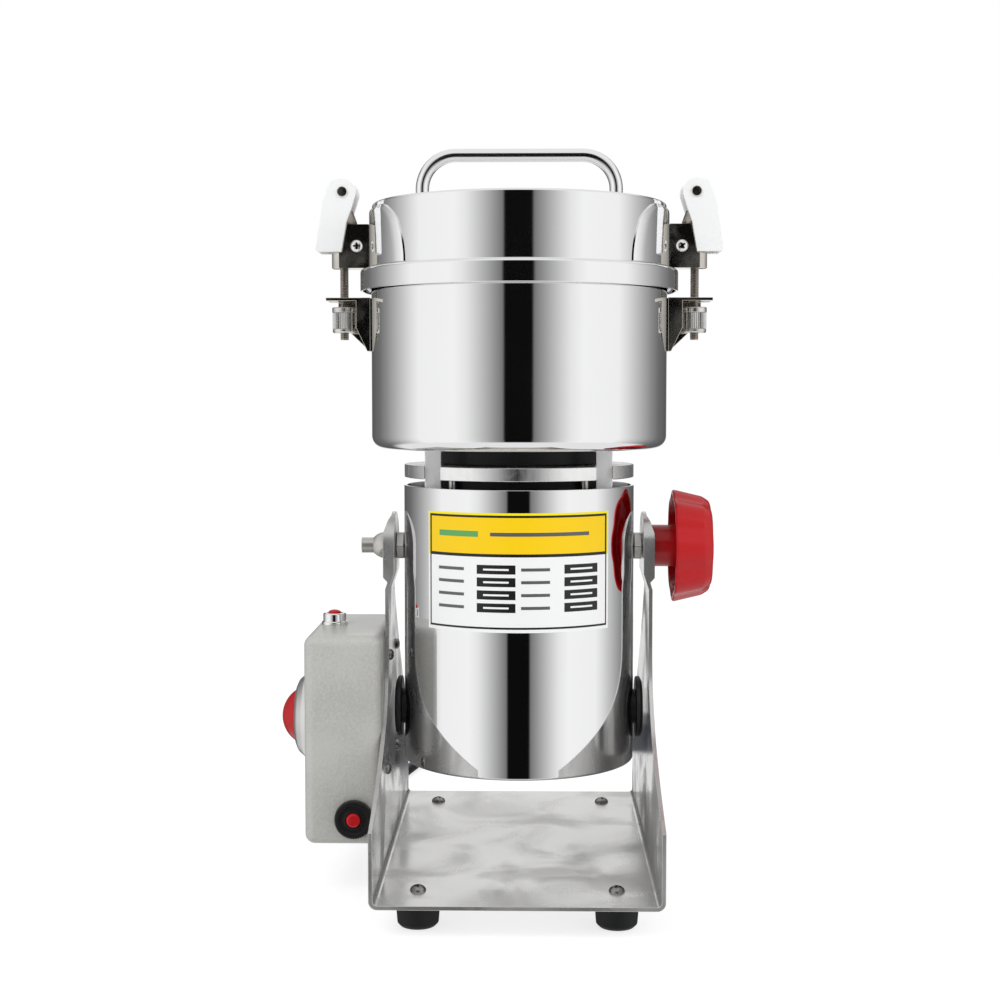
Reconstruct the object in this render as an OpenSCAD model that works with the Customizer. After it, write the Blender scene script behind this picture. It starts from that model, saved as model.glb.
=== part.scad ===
// Swing grain mill: a steel bowl with a clamped lid over a motor, tilting in a bent sheet bracket.
// X runs to the right of the front view, Y to the back, Z up. The table is at zero height.

/* [Bracket] */
// Depth of the bracket, front to back
base_depth = 220; // [200:1:240]
// Thickness of the bracket's steel sheet
sheet = 2; // [1.5:0.1:3]
// Height of the pivot axis above the table
pivot_height = 171; // [169:1:190]
// Radius of the rounded top of each side plate
head_radius = 17.5; // [16.5:0.5:20]
// Depth of each side plate at its waist
waist_depth = 35; // [34:1:44]
// Height above the table from which a side plate's front edge swings forward
waist_height = 122; // [110:1:130]
// Height up to which a side plate's front edge is upright
flare_start = 50; // [42:1:56]
// Height up to which a side plate's back edge is upright
back_start = 60; // [50:1:66]
// Outer radius of the bends between floor and side plates
bend_radius = 4; // [3:0.5:6]

/* [Feet] */
// Height of a rubber foot
foot_height = 14.5; // [12:0.5:20]
// Diameter of a rubber foot
foot_diameter = 21.4; // [16:0.2:24]
// Distance between the feet, left to right
foot_spacing_x = 93; // [70:1:98]
// Distance from a foot's middle to the bracket's front or back edge
foot_inset = 25; // [16:1:34]

/* [Motor housing] */
// Outer diameter of the motor housing
housing_diameter = 117.5; // [112:0.5:124]
// Height of the motor housing
housing_height = 140.5; // [138:0.5:150]
// Height from the underside of the housing up to the pivot axis
housing_drop = 109; // [104:0.5:112]
// Sheet thickness of housing, bowl and lid
shell_wall = 1.5; // [1:0.1:2]
// Gap on each side between housing and side plate
pivot_gap = 6.75; // [6.5:0.25:12]

/* [Bowl and lid] */
// Outer diameter of the bowl
bowl_diameter = 150; // [144:1:160]
// Height of the bowl, rim included
bowl_height = 86.5; // [80:0.5:100]
// Free height between housing and bowl
neck_height = 18.5; // [17:0.5:26]
// Height of the lid above the bowl's rim
lid_height = 36.1; // [34:0.1:44]
// Height of the lid handle above the lid
handle_height = 28.8; // [26:0.5:45]
// Width of the lid handle over its rod
handle_width = 105; // [80:1:120]
// Diameter of the handle's rod
handle_rod = 6.8; // [5:0.2:9]

/* [Control box] */
// Depth of the control box, out from the side plate
box_depth = 38; // [35:1:46]
// Width of the control box, front to back
box_width = 88; // [82:1:96]
// Height of the control box
box_height = 104; // [98:1:108]
// Underside of the control box above the table
box_bottom = 26; // [24:1:32]

/* [Lid clamps] */
// Distance of a clamp rod's axis from the bowl's wall
rod_offset = 14; // [13.5:0.1:16]
// Diameter of a clamp rod
rod_diameter = 4.4; // [4:0.1:5.4]

/* [Tilt knob] */
// Diameter of the clamp knob's rim
knob_diameter = 58; // [50:1:64]
// Length of the clamp knob along its axis
knob_length = 32.5; // [28:0.5:36]

/* [Mains cord] */
// Diameter of the mains cord
cord_diameter = 6.5; // [6:0.1:6.5]

/* [Hidden] */
$fn = 96;

// Overrun of a cut past a face
over = 1;
// Radial play of a shaft, a bolt or a screw in its hole
running = 0.05;
// Play between two flat faces that move past each other
play = 0.3;

// Bracket
housing_radius = housing_diameter / 2;
plate_inner = housing_radius + pivot_gap;
plate_outer = plate_inner + sheet;
floor_top = foot_height + sheet;
flare_power = 2.4;
flare_steps = 18;
flare_rise = waist_height - flare_start;
back_power = 1.2;
back_top = pivot_height - 21;
back_rise = back_top - back_start;
foot_spacing_y = base_depth - 2 * foot_inset;

// Heads of the side plates: stepped inwards, with a lip turned out along their edges
head_step = 2.6;
head_inner = plate_inner - head_step;
head_outer = head_inner + sheet;
step_low = pivot_height - 21;
step_high = pivot_height - 13;
head_lip = 5.6;
lip_outer = head_inner + head_lip;
lip_low = pivot_height - 15;
lip_full = pivot_height + 7.5;
lip_turn = 12;

// Feet and their screws
foot_edge = 1.6;
foot_draft = 1;
foot_screw_radius = 2;
foot_screw_head_radius = 3.8;
foot_screw_head_height = 2.6;
foot_screw_depth = 9;

// Pivot bolts, spacer nuts and dome nut
bolt_radius = 4;
bolt_head_height = 4;
bolt_head_back = 0.5;
nut_across_flats = 13;
dome_nut_height = 12;
bolt_left_stub = 3.5;
hex_corner_share = 1 / cos(30);

// Control box
box_wall = 2.2;
box_edge = 5;
box_back_wall = 1.6;
box_window_share = 0.55;
box_outer = plate_outer + box_depth;
box_top = box_bottom + box_height;
box_boss_radius = 4;
box_boss_length = 11;
box_screw_radius = 1.5;
box_screw_head_radius = 2.9;
box_screw_head_height = 2;
box_screw_length = 9;
upper_screw_front = 11;
upper_screw_back = 26;
upper_screw_drop = 14;
lower_screw_y = 28;
lower_screw_rise = 35;

// Power button, its bezel and switch
power_z = box_bottom + 0.544 * box_height;
bezel_radius = 22.8;
bezel_height = 9;
bezel_lip = 1.4;
button_radius = 13.6;
button_gap = 0.5;
button_skirt = 4.2;
button_dome = 7.8;
button_stem_radius = 4;
stem_gap = 0.3;
switch_side = 28;
switch_depth = 18;
switch_well = 12;
power_travel = 3.5;

// Overload reset button in its collar
reset_out = 13.3;
reset_rise = 13.6;
reset_x = -(plate_outer + reset_out);
reset_z = box_bottom + reset_rise;
collar_radius = 9.2;
collar_height = 4;
collar_teeth = 36;
collar_tooth_radius = 0.45;
reset_radius = 3.6;
reset_stand_out = 5.4;
reset_gap = 0.3;
reset_travel = 2.5;
breaker_radius = 5.8;
breaker_length = 20;
breaker_well = 6;

// Pilot lamp on top of the box
lamp_inset = 10.5;
lamp_x = -(box_outer - lamp_inset);
lamp_bezel_radius = 6.6;
lamp_bezel_height = 6;
lamp_lens_radius = 3.3;
lamp_lens_rise = 1.6;
lamp_lens_depth = 8;

// Cord gland in the back wall of the box
gland_out = 18;
gland_rise = 26;
gland_x = -(plate_outer + gland_out);
gland_z = box_bottom + gland_rise;
gland_length = 26;
gland_root_radius = 7.4;
gland_tip_radius = 4.6;
gland_neck_radius = 5.8;
gland_flange_radius = 8.6;
gland_flange = 1.5;
gland_ribs = 5;
gland_rib_width = 2.2;
gland_rib_depth = 0.9;

// Route of the free cord from the gland to the coil, as points chosen by hand
cord_radius = cord_diameter / 2;
run_points = [
    [-85.5, 70, 52], [-85.5, 76, 52], [-85.5, 82, 51.7], [-85.5, 89, 49.8], [-85.6, 96, 45.8],
    [-85.8, 102, 40], [-86, 106.5, 33], [-86.2, 110, 26], [-86.4, 113.8, 19.5],
    [-86.6, 118.5, 13.5], [-86.8, 124.5, 8.2], [-87, 132, 4.9], [-87, 141, 3.5],
    [-86.5, 152, 3.3], [-85, 166, 3.3], [-82.5, 182, 3.3], [-79, 200, 3.3], [-75, 218, 3.3],
    [-71.2, 235, 3.3], [-68.4, 250, 3.3], [-67, 261.5, 3.3]
];

// Coil of the length that is put away behind the mill
coil_centre = [-24.5, 268];
coil_radius = 42.5;
coil_lift = 0.05;
coil_turns = 5.25;
coil_climb_turns = 0.5;
coil_rings = 24;
coil_sides = 6;
coil_spare = 0.5;
coil_tail = 10;

// Plug: body and strain relief in one moulding, three flat pins
plug_y = coil_centre[1] + coil_radius;
plug_relief_start = coil_centre[0] + coil_tail;
plug_relief_length = 28;
plug_relief_tip = 4.8;
plug_relief_root = 7.6;
plug_body_length = 47;
plug_body_width = 50;
plug_body_height = 20;
plug_nose_width = 30;
plug_corner = 7;
plug_shoulder = 15;
plug_corner_sides = 32;
earth_pin = [8, 4, 22.7];
line_pin = [4, 6.4, 17.7];
pin_pitch = 11.1;
pin_row = 22.2;
line_pin_place = 13.4;

// Motor housing
housing_bottom = pivot_height - housing_drop;
housing_top = housing_bottom + housing_height;
housing_inner = housing_radius - shell_wall;
vent_radius = 3;
vent_count = 12;
vent_circle_share = 0.6;

// Label on the housing's front
label_height = 57.5;
label_top_gap = 11;
label_half_angle = 48;
label_thickness = 0.35;

// Brushes, set low in the housing
brush_height = 25.7;
brush_z = housing_bottom + brush_height;
brush_side = 6;
brush_length = 22;
brush_clear = 0.2;
brush_tube_wall = 1.6;
cap_radius = 15.6;
cap_height = 3.2;
cap_neck_radius = 9;
cap_neck_height = 2.2;

// Motor flange and the posts between bowl, flange and housing
flange_inset = 0.25;
flange_radius = housing_radius - flange_inset;
flange_thickness = 6.5;
flange_gap = 4;
flange_z = housing_top + flange_gap;
bearing_outer = 11;
bearing_height = 7;
bearing_cup_wall = 4;
bearing_floor = 1.6;
shaft_radius = 5;
shaft_gap = 0.6;
post_x_share = 0.737;
post_clear = 0.6;
post_width = 8;
post_depth = 6;
post_drop = 12.5;
post_fit = 0.1;
neck_clear = 6.6;
shroud_clear = 1;
shroud_height = 8.1;

// Motor
shaft_rise = 7;
shaft_z = housing_bottom + shaft_rise;
bracket_disc = 3;
motor_clear = 7.25;
motor_radius = housing_inner - motor_clear;
motor_bolt_edge = 4;
motor_bolt_circle = motor_radius - motor_bolt_edge;
motor_bolt_radius = 2;
motor_bolt_head_radius = 3.5;
motor_bolt_head_height = 3;
stator_rise = 42.5;
stator_z = housing_bottom + stator_rise;
stator_height = 50;
stator_web = 21.4;
stator_inner = motor_radius - stator_web;
air_gap = 1;
armature_radius = stator_inner - air_gap;
coil_end_height = 8;
coil_end_gap = 1.4;
coil_end_inner = stator_inner + coil_end_gap;
coil_end_clear = 3;
coil_end_outer = motor_bolt_circle - motor_bolt_radius - coil_end_clear;
commutator_radius = 14;
commutator_height = 18;
fan_drop = 26.4;
fan_z = flange_z - shroud_height - fan_drop;
fan_clear = 3;
fan_radius = motor_bolt_circle - motor_bolt_radius - fan_clear;
fan_hub_radius = 9;
fan_disc = 1.5;
fan_blade_height = 9;
fan_blade_thickness = 1.5;
fan_blades = 10;

// Bowl
bowl_radius = bowl_diameter / 2;
bowl_inner = bowl_radius - shell_wall;
bowl_bottom = housing_top + neck_height;
bowl_rim_top = bowl_bottom + bowl_height;
bowl_corner = 6;
rim_width = 4;

// Seal in the bowl's floor, blades on the shaft
seal_radius = 12;
seal_flange_radius = 16;
seal_flange = 3.5;
seal_drop = 5;
blade_hub_radius = 9;
spacer_radius = 8;
spacer_low = 5;
spacer_high = 11;
lower_blade_thickness = 2.5;
upper_blade_thickness = 2;
lower_blade_reach = 66;
upper_blade_reach = 58;
blade_width = 16;
blade_tip_share = 0.55;
blade_nut_flats = 16;
blade_nut_height = 7;
spacer_start = bowl_bottom + shell_wall + seal_flange + play;
lower_blade_z = spacer_start + spacer_low;
upper_blade_z = lower_blade_z + lower_blade_thickness + spacer_high;
blade_nut_z = upper_blade_z + upper_blade_thickness;
shaft_top = blade_nut_z + blade_nut_height;

// Lid, gasket and handle
gasket_thickness = 2;
lid_seat = bowl_rim_top + gasket_thickness;
lid_top = bowl_rim_top + lid_height;
lid_radius = bowl_radius - 0.5;
lid_inner = lid_radius - shell_wall;
skirt_gap = 0.2;
skirt_wall = 1.3;
skirt_inner = bowl_radius + rim_width + skirt_gap;
skirt_radius = skirt_inner + skirt_wall;
skirt_height = 11;
skirt_bottom = lid_seat + shell_wall - skirt_height;
lid_corner = 3;
handle_bend = 17;
handle_radius = handle_rod / 2;
handle_leg = handle_width / 2 - handle_radius;
handle_top = lid_top + handle_height - handle_radius;

// Pad, catch and screw on each side of the lid
pad_thickness = 1.5;
pad_radius = lid_radius + pad_thickness;
pad_bottom = lid_seat + shell_wall + 1;
pad_top = lid_top - 2.8;
pad_half_bottom = 52;
pad_half_shoulder = 48.5;
pad_half_top = 37.4;
pad_shoulder_share = 0.62;
catch_sheet = 1.5;
catch_half = 6.6;
catch_bottom = pad_bottom;
catch_height = 22;
catch_top = catch_bottom + catch_height;
catch_reach = 2;
catch_toe_height = 8;
slot_gap = 0.5;
catch_screw_radius = 1.6;
catch_screw_head = 3.1;
catch_screw_head_height = 1.7;
catch_screw_in = 7;
catch_screw_rise = 11;

// Rod, trunnion nut and lever on each side
rod_radius = rod_diameter / 2;
rod_x = -(bowl_radius + rod_offset);
swing_drop = 21.5;
swing_z = bowl_rim_top - swing_drop;
nut_radius = 6.3;
nut_half = 6.5;
nut_teeth = 28;
nut_tooth_radius = 0.35;
trunnion_radius = 2.2;
rod_tip = 10;
lever_rise = 16;
lever_z = catch_top + lever_rise;
eye_radius = 4.6;
eye_half = 4.5;
pin_radius = 2;
pin_head_radius = 2.6;
pin_head = 0.6;
collar_low_radius = 6.6;
collar_high_radius = 4.4;
rod_collar_height = 7;
lever_half = 8.6;
lever_sheet = 1.6;
lever_disc = 7;
lever_drop = 30;
lever_out_top = 6;
lever_out_neck = 8.2;
lever_out_mid = 10.2;
lever_out_bottom = 13.8;
lever_in_bottom = 0.5;
lever_in_mid = 2.2;
lever_lip = 1.2;

// Bracket on each side of the bowl
hinge_sheet = 1.6;
hinge_half = 9.8;
hinge_top_gap = 0.3;
hinge_toe = 8.4;
hinge_ear = 4.2;
gusset_clear = 0.5;
hinge_tail = 16;
hinge_top_z = swing_z + norm([nut_radius, nut_half]) + hinge_top_gap;
hinge_tip_gap = 0.4;

// Clamp knob
knob_radius = knob_diameter / 2;
knob_hub_radius = 10.8;
knob_hub = 13;
knob_wall = 3;
knob_taper = 5;
knob_edge = 3;
knob_lobes = 8;
knob_scallop_radius = 16;
knob_scallop_depth = 1.6;
knob_bore_end = 5;

// The whole mill is set so that its box has the origin under its middle
left_reach = box_outer + bezel_height + button_dome;
right_reach = max(-rod_x + lever_out_bottom, head_outer + play + knob_length);
shift_x = (left_reach - right_reach) / 2;

steel = [0.80, 0.80, 0.80];
dark_steel = [0.55, 0.54, 0.52];
sheet_grey = [0.68, 0.68, 0.67];
box_grey = [0.66, 0.67, 0.64];
red = [0.78, 0.05, 0.06];
black = [0.05, 0.05, 0.06];
copper = [0.72, 0.42, 0.22];

// Everything is drawn about the bowl's axis and moved here to its place
module place() {
    translate([shift_x, 0, 0]) children();
}

module both_sides() {
    children();
    mirror([1, 0, 0]) children();
}

// A cylinder along X from x0 to x1
module rod_along_x(r, x0, x1) {
    translate([x0, 0, 0]) rotate([0, 90, 0]) cylinder(r = r, h = x1 - x0);
}

// A cylinder along Y from y0 to y1
module rod_along_y(r, y0, y1) {
    translate([0, y0, 0]) rotate([-90, 0, 0]) cylinder(r = r, h = y1 - y0);
}

// A tube about Z
module tube(outer, inner, height) {
    difference() {
        cylinder(r = outer, h = height);
        translate([0, 0, -over]) cylinder(r = inner, h = height + 2 * over);
    }
}

// A hexagon of the given width across its flats
module hexagon(flats) {
    circle(r = flats / 2 * hex_corner_share, $fn = 6);
}

// An outline drawn in X and Z, drawn out along Y between two places
module slab_xz(y0, y1) {
    translate([0, y1, 0]) rotate([90, 0, 0]) linear_extrude(y1 - y0) children();
}

// An outline drawn in Y and Z, drawn out along X between two places
module slab_yz(x0, x1) {
    translate([x0, 0, 0]) rotate([90, 0, 90]) linear_extrude(x1 - x0) children();
}

// A rectangle with round corners, its low corner at the origin
module soft_rectangle(w, h, r) {
    translate([r, 0]) square([w - 2 * r, h]);
    translate([0, r]) square([w, h - 2 * r]);
    for (x = [r, w - r], y = [r, h - r]) translate([x, y]) circle(r = r);
}

// Bent sheet bracket: a floor and two side plates in one piece
function flare(share, half, power) = half + (base_depth / 2 - half) * pow(1 - share, power);
front_line = [for (i = [0 : flare_steps]) let (share = i / flare_steps)
    [-flare(share, waist_depth / 2, flare_power), flare_start + flare_rise * share]];
back_line = [for (i = [0 : flare_steps]) let (share = i / flare_steps)
    [flare(share, head_radius, back_power), back_start + back_rise * share]];

module side_outline() {
    polygon(concat(
        [[-base_depth / 2, foot_height], [base_depth / 2, foot_height]],
        back_line,
        [[head_radius, pivot_height], [-head_radius, pivot_height]],
        [for (i = [flare_steps : -1 : 0]) front_line[i]]
    ));
    translate([0, pivot_height]) circle(r = head_radius);
}

module bracket_section() {
    difference() {
        translate([-plate_outer, foot_height])
            soft_rectangle(2 * plate_outer, 2 * pivot_height, bend_radius);
        translate([-plate_inner, floor_top])
            soft_rectangle(2 * plate_inner, 2 * pivot_height, bend_radius - sheet);
        translate([-plate_outer - over, step_low])
            square([2 * (plate_outer + over), 3 * pivot_height]);
    }
    for (side = [-1, 1]) polygon([
        [side * plate_inner, step_low - over], [side * plate_outer, step_low - over],
        [side * plate_outer, step_low], [side * head_outer, step_high],
        [side * head_outer, 2 * pivot_height], [side * head_inner, 2 * pivot_height],
        [side * head_inner, step_high], [side * plate_inner, step_low]
    ]);
}

// The strip of each head that is turned out, seen from the side and from the front
module head_strip() {
    low = step_low + sheet;
    difference() {
        union() {
            translate([0, pivot_height]) circle(r = head_radius);
            translate([-head_radius, low]) square([2 * head_radius, pivot_height - low]);
        }
        translate([0, pivot_height]) circle(r = head_radius - sheet);
        translate([-head_radius + sheet, low - over])
            square([2 * (head_radius - sheet), pivot_height - low + over]);
    }
}

module lip_outline() {
    top = pivot_height + head_radius;
    polygon([
        [head_inner, top + over], [head_inner + sheet / 2, top],
        [head_inner + head_lip * 0.62, (top + lip_full) / 2 + lip_turn / 10],
        [lip_outer, lip_full], [lip_outer, lip_low],
        [head_outer, step_low + sheet], [head_inner, step_high]
    ]);
}

module head_lips() {
    both_sides() intersection() {
        slab_yz(head_inner, lip_outer) head_strip();
        slab_xz(-head_radius - over, head_radius + over) lip_outline();
    }
}

module foot_places() {
    for (x = [-1, 1], y = [-1, 1])
        translate([x * foot_spacing_x / 2, y * foot_spacing_y / 2, 0]) children();
}

module box_screw_places() {
    for (y = [-upper_screw_front, upper_screw_back])
        translate([0, y, box_top - upper_screw_drop]) children();
    for (y = [-lower_screw_y, lower_screw_y])
        translate([0, y, box_bottom + lower_screw_rise]) children();
}

module base_bracket() {
    color(sheet_grey) difference() {
        union() {
            intersection() {
                slab_xz(-base_depth / 2, base_depth / 2) bracket_section();
                slab_yz(-plate_outer - over, plate_outer + over) side_outline();
            }
            head_lips();
        }
        foot_places() translate([0, 0, foot_height - over])
            cylinder(r = foot_screw_radius + running, h = sheet + 2 * over);
        translate([0, 0, pivot_height])
            rod_along_x(bolt_radius + running, -plate_outer - over, plate_outer + over);
        box_screw_places()
            rod_along_x(box_screw_radius + running, -plate_outer - over, -plate_inner + over);
    }
}

// Rubber feet, each with a screw down through the floor
module foot_outline() {
    polygon([
        [0, 0], [foot_diameter / 2 - foot_draft - foot_edge, 0],
        [foot_diameter / 2 - foot_draft, foot_edge], [foot_diameter / 2, foot_height],
        [0, foot_height]
    ]);
}

module rubber_feet() {
    color(black) foot_places() difference() {
        rotate_extrude() foot_outline();
        translate([0, 0, foot_height - foot_screw_depth])
            cylinder(r = foot_screw_radius + running, h = foot_screw_depth + over);
    }
}

module foot_screws() {
    color(steel) foot_places() {
        translate([0, 0, foot_height - foot_screw_depth])
            cylinder(r = foot_screw_radius, h = foot_screw_depth + sheet);
        translate([0, 0, floor_top])
            cylinder(r = foot_screw_head_radius, h = foot_screw_head_height);
    }
}

// Control box: a deep shell on the left side plate
module box_body(inset) {
    w = box_width - 2 * inset;
    h = box_height - 2 * inset;
    d = box_depth - inset;
    r = box_edge - inset;
    translate([0, 0, box_bottom + inset]) intersection() {
        slab_yz(-plate_outer - d, -plate_outer) translate([-w / 2, 0]) soft_rectangle(w, h, r);
        slab_xz(-w / 2, w / 2) translate([-plate_outer - d, 0]) soft_rectangle(2 * d, h, r);
        translate([-plate_outer - d, -w / 2, 0]) linear_extrude(h) soft_rectangle(2 * d, w, r);
    }
}

module box_hollow() {
    intersection() {
        box_body(box_wall);
        translate([-box_outer, -box_width / 2, box_bottom])
            cube([box_depth - box_back_wall, box_width, box_height]);
    }
}

module control_box() {
    window_w = box_window_share * box_width;
    window_h = box_window_share * box_height;
    color(box_grey) difference() {
        union() {
            difference() {
                box_body(0);
                box_hollow();
                translate([-plate_outer - box_back_wall - over, -window_w / 2,
                           box_bottom + (box_height - window_h) / 2])
                    cube([box_back_wall + 2 * over, window_w, window_h]);
            }
            box_screw_places()
                rod_along_x(box_boss_radius, -plate_outer - box_boss_length, -plate_outer);
        }
        box_screw_places()
            rod_along_x(box_screw_radius + running, -plate_outer - box_boss_length - over,
                        -plate_outer + over);
        translate([0, 0, power_z])
            rod_along_x(button_stem_radius + stem_gap, -box_outer - over,
                        -box_outer + box_wall + over);
        translate([reset_x, 0, reset_z])
            rod_along_y(reset_radius + reset_gap, -box_width / 2 - over,
                        -box_width / 2 + box_wall + over);
        translate([lamp_x, 0, box_top - box_wall - over])
            cylinder(r = lamp_lens_radius + running, h = box_wall + 2 * over);
        translate([gland_x, 0, gland_z])
            rod_along_y(gland_neck_radius, box_width / 2 - box_wall - over,
                        box_width / 2 + over);
    }
}

module box_screws() {
    color(steel) box_screw_places() {
        rod_along_x(box_screw_radius, -plate_outer - box_screw_length, -plate_inner);
        rod_along_x(box_screw_head_radius, -plate_inner, -plate_inner + box_screw_head_height);
    }
}

// Power button: a red dome in a domed steel bezel, over its switch
module power_bezel() {
    bore = button_radius + button_gap;
    color(steel) translate([-box_outer, 0, power_z]) rotate([0, -90, 0]) rotate_extrude()
        difference() {
            polygon([
                [bore, 0], [bezel_radius, 0], [bezel_radius, bezel_lip],
                [bezel_radius - bezel_lip, bezel_height / 2],
                [bezel_radius - 3 * bezel_lip, bezel_height * 0.86],
                [bore + bezel_lip, bezel_height], [bore, bezel_height]
            ]);
        }
}

module power_button() {
    skirt_end = bezel_height - button_skirt;
    cap_radius_of_dome = (pow(button_radius, 2) + pow(button_dome, 2)) / (2 * button_dome);
    color(red) translate([-box_outer, 0, power_z]) rotate([0, -90, 0]) {
        translate([0, 0, skirt_end]) cylinder(r = button_radius, h = button_skirt);
        translate([0, 0, skirt_end - switch_well])
            cylinder(r = button_stem_radius, h = switch_well + over);
        translate([0, 0, bezel_height]) intersection() {
            cylinder(r = button_radius, h = button_dome);
            translate([0, 0, button_dome - cap_radius_of_dome]) sphere(r = cap_radius_of_dome);
        }
    }
}

module power_switch() {
    wall_inside = -box_outer + box_wall;
    color(black) translate([0, 0, power_z]) difference() {
        translate([wall_inside, -switch_side / 2, -switch_side / 2])
            cube([switch_depth, switch_side, switch_side]);
        rod_along_x(button_stem_radius + stem_gap, wall_inside - over,
                    wall_inside + switch_well);
    }
}

// Overload reset: a red button in a toothed black collar, with the breaker behind the wall
module reset_collar() {
    color(black) translate([reset_x, -box_width / 2, reset_z]) rotate([90, 0, 0])
        difference() {
            union() {
                cylinder(r = collar_radius, h = collar_height);
                for (i = [0 : collar_teeth - 1]) rotate(i * 360 / collar_teeth)
                    translate([collar_radius, 0, 0])
                        cylinder(r = collar_tooth_radius, h = collar_height, $fn = 16);
            }
            translate([0, 0, -over])
                cylinder(r = reset_radius + reset_gap, h = collar_height + 2 * over);
        }
}

module reset_button() {
    inside = box_wall + breaker_well - reset_travel - stem_gap;
    color(red) translate([reset_x, -box_width / 2, reset_z])
        rod_along_y(reset_radius, -reset_stand_out, inside);
}

module overload_breaker() {
    inner_face = -box_width / 2 + box_wall;
    color(black) translate([reset_x, 0, reset_z]) difference() {
        rod_along_y(breaker_radius, inner_face, inner_face + breaker_length);
        rod_along_y(reset_radius + reset_gap, inner_face - over, inner_face + breaker_well);
    }
}

// Pilot lamp on top of the box
module lamp_bezel() {
    color(steel) translate([lamp_x, 0, box_top])
        tube(lamp_bezel_radius, lamp_lens_radius + running, lamp_bezel_height);
}

module lamp_lens() {
    color(red) translate([lamp_x, 0, box_top + lamp_bezel_height]) {
        translate([0, 0, -lamp_lens_depth]) cylinder(r = lamp_lens_radius, h = lamp_lens_depth);
        intersection() {
            cylinder(r = lamp_lens_radius, h = lamp_lens_rise);
            scale([1, 1, lamp_lens_rise / lamp_lens_radius]) sphere(r = lamp_lens_radius);
        }
    }
}

// Gland: a ribbed rubber sleeve that the cord leaves the box through
module gland_outline() {
    step = gland_length / (gland_ribs + 1);
    difference() {
        union() {
            polygon([[0, 0], [gland_root_radius, 0], [gland_tip_radius, gland_length],
                     [0, gland_length]]);
            translate([0, -box_wall]) square([gland_neck_radius, box_wall]);
            translate([0, -box_wall - gland_flange]) square([gland_flange_radius, gland_flange]);
        }
        for (i = [1 : gland_ribs])
            translate([gland_root_radius + (gland_tip_radius - gland_root_radius) * i
                       / (gland_ribs + 1) - gland_rib_depth, i * step - gland_rib_width / 2])
                square([2 * gland_root_radius, gland_rib_width]);
    }
}

module cord_gland() {
    color(black) translate([gland_x, box_width / 2, gland_z]) rotate([-90, 0, 0])
        rotate_extrude() gland_outline();
}

// A tube swept along points, with flat ends
function unit(v) = v / norm(v);
function heading(points, i) = unit(points[min(i + 1, len(points) - 1)] - points[max(i - 1, 0)]);
function ring(point, ahead, r, sides) =
    let (side = unit(cross(ahead, [0, 0, 1] + [0.001, 0, 0])), rise = cross(side, ahead))
    [for (k = [0 : sides - 1]) let (a = 360 * (k + 0.5) / sides)
        point + r * (cos(a) * side + sin(a) * rise)];

module swept_tube(points, r, sides, first, last) {
    rings = len(points);
    // Corners sit on a slightly wider circle, so that a flat side is not much inside the cord
    vertices = [for (i = [0 : rings - 1]) each ring(points[i],
        i == 0 ? first : i == rings - 1 ? last : heading(points, i), r, sides)];
    walls = [for (i = [0 : rings - 2], k = [0 : sides - 1])
        let (a = i * sides + k, b = i * sides + (k + 1) % sides)
        each [[a, a + sides, b], [b, a + sides, b + sides]]];
    caps = [[for (k = [0 : sides - 1]) k], [for (k = [sides - 1 : -1 : 0]) (rings - 1) * sides + k]];
    polyhedron(vertices, concat(walls, caps));
}

module cord_run() {
    color(black) swept_tube(run_points, cord_radius, 8, [0, 1, 0], [0, 1, 0]);
}

// The coil winds in on the table, climbs a layer while it turns back, and winds out on top
coil_pitch = cord_diameter + coil_spare;
coil_half = coil_turns / 2;
function coil_layer(turn) =
    min(1, max(0, (turn - coil_half + coil_climb_turns / 2) / coil_climb_turns));
function coil_reach(turn) = coil_radius - coil_pitch * (coil_half - abs(turn - coil_half));
function coil_point(turn) =
    let (a = 180 - 360 * turn, r = coil_reach(turn))
    [coil_centre[0] + r * cos(a), coil_centre[1] + r * sin(a),
     cord_radius + coil_lift + coil_pitch * coil_layer(turn)];
coil_ring_count = coil_rings * coil_turns;
coil_winding = [for (i = [0 : coil_ring_count]) coil_point(i / coil_rings)];
coil_points = concat(
    [coil_winding[0] - [0, cord_diameter, 0]],
    coil_winding,
    [coil_winding[len(coil_winding) - 1] + [coil_tail, 0, 0]]
);

// The least gap between two stretches of the winding that are not next to each other
function least_gap(points, apart) = min([for (i = [0 : len(points) - 1 - apart])
    for (j = [i + apart : len(points) - 1]) norm(points[i] - points[j])]) - cord_diameter;
echo(coil_least_gap = least_gap(coil_winding, coil_rings / 2));

module cord_coil() {
    color(black) swept_tube(coil_points, cord_radius, coil_sides, [0, 1, 0], [1, 0, 0]);
}

// Plug, lying on its back behind the mill with its pins up
module plug_body() {
    body_x = plug_relief_start + plug_relief_length;
    corner_y = plug_body_width / 2 - plug_corner;
    nose_y = plug_nose_width / 2 - plug_corner;
    color(black) translate([body_x, plug_y, 0]) {
        hull() {
            for (side = [-1, 1]) {
                translate([plug_corner, side * nose_y, 0])
                    cylinder(r = plug_corner, h = plug_body_height, $fn = plug_corner_sides);
                translate([plug_shoulder + plug_corner, side * corner_y, 0])
                    cylinder(r = plug_corner, h = plug_body_height, $fn = plug_corner_sides);
                translate([plug_body_length - plug_corner, side * nose_y, 0])
                    cylinder(r = plug_corner, h = plug_body_height, $fn = plug_corner_sides);
            }
        }
    }
    color(black) translate([0, plug_y, cord_radius + coil_lift + coil_pitch])
        rotate([0, 90, 0]) translate([0, 0, plug_relief_start])
            cylinder(r1 = plug_relief_tip, r2 = plug_relief_root,
                     h = plug_relief_length + plug_corner);
}

module plug_pin(size) {
    translate([-size[0] / 2, -size[1] / 2, plug_body_height]) cube(size);
}

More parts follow.
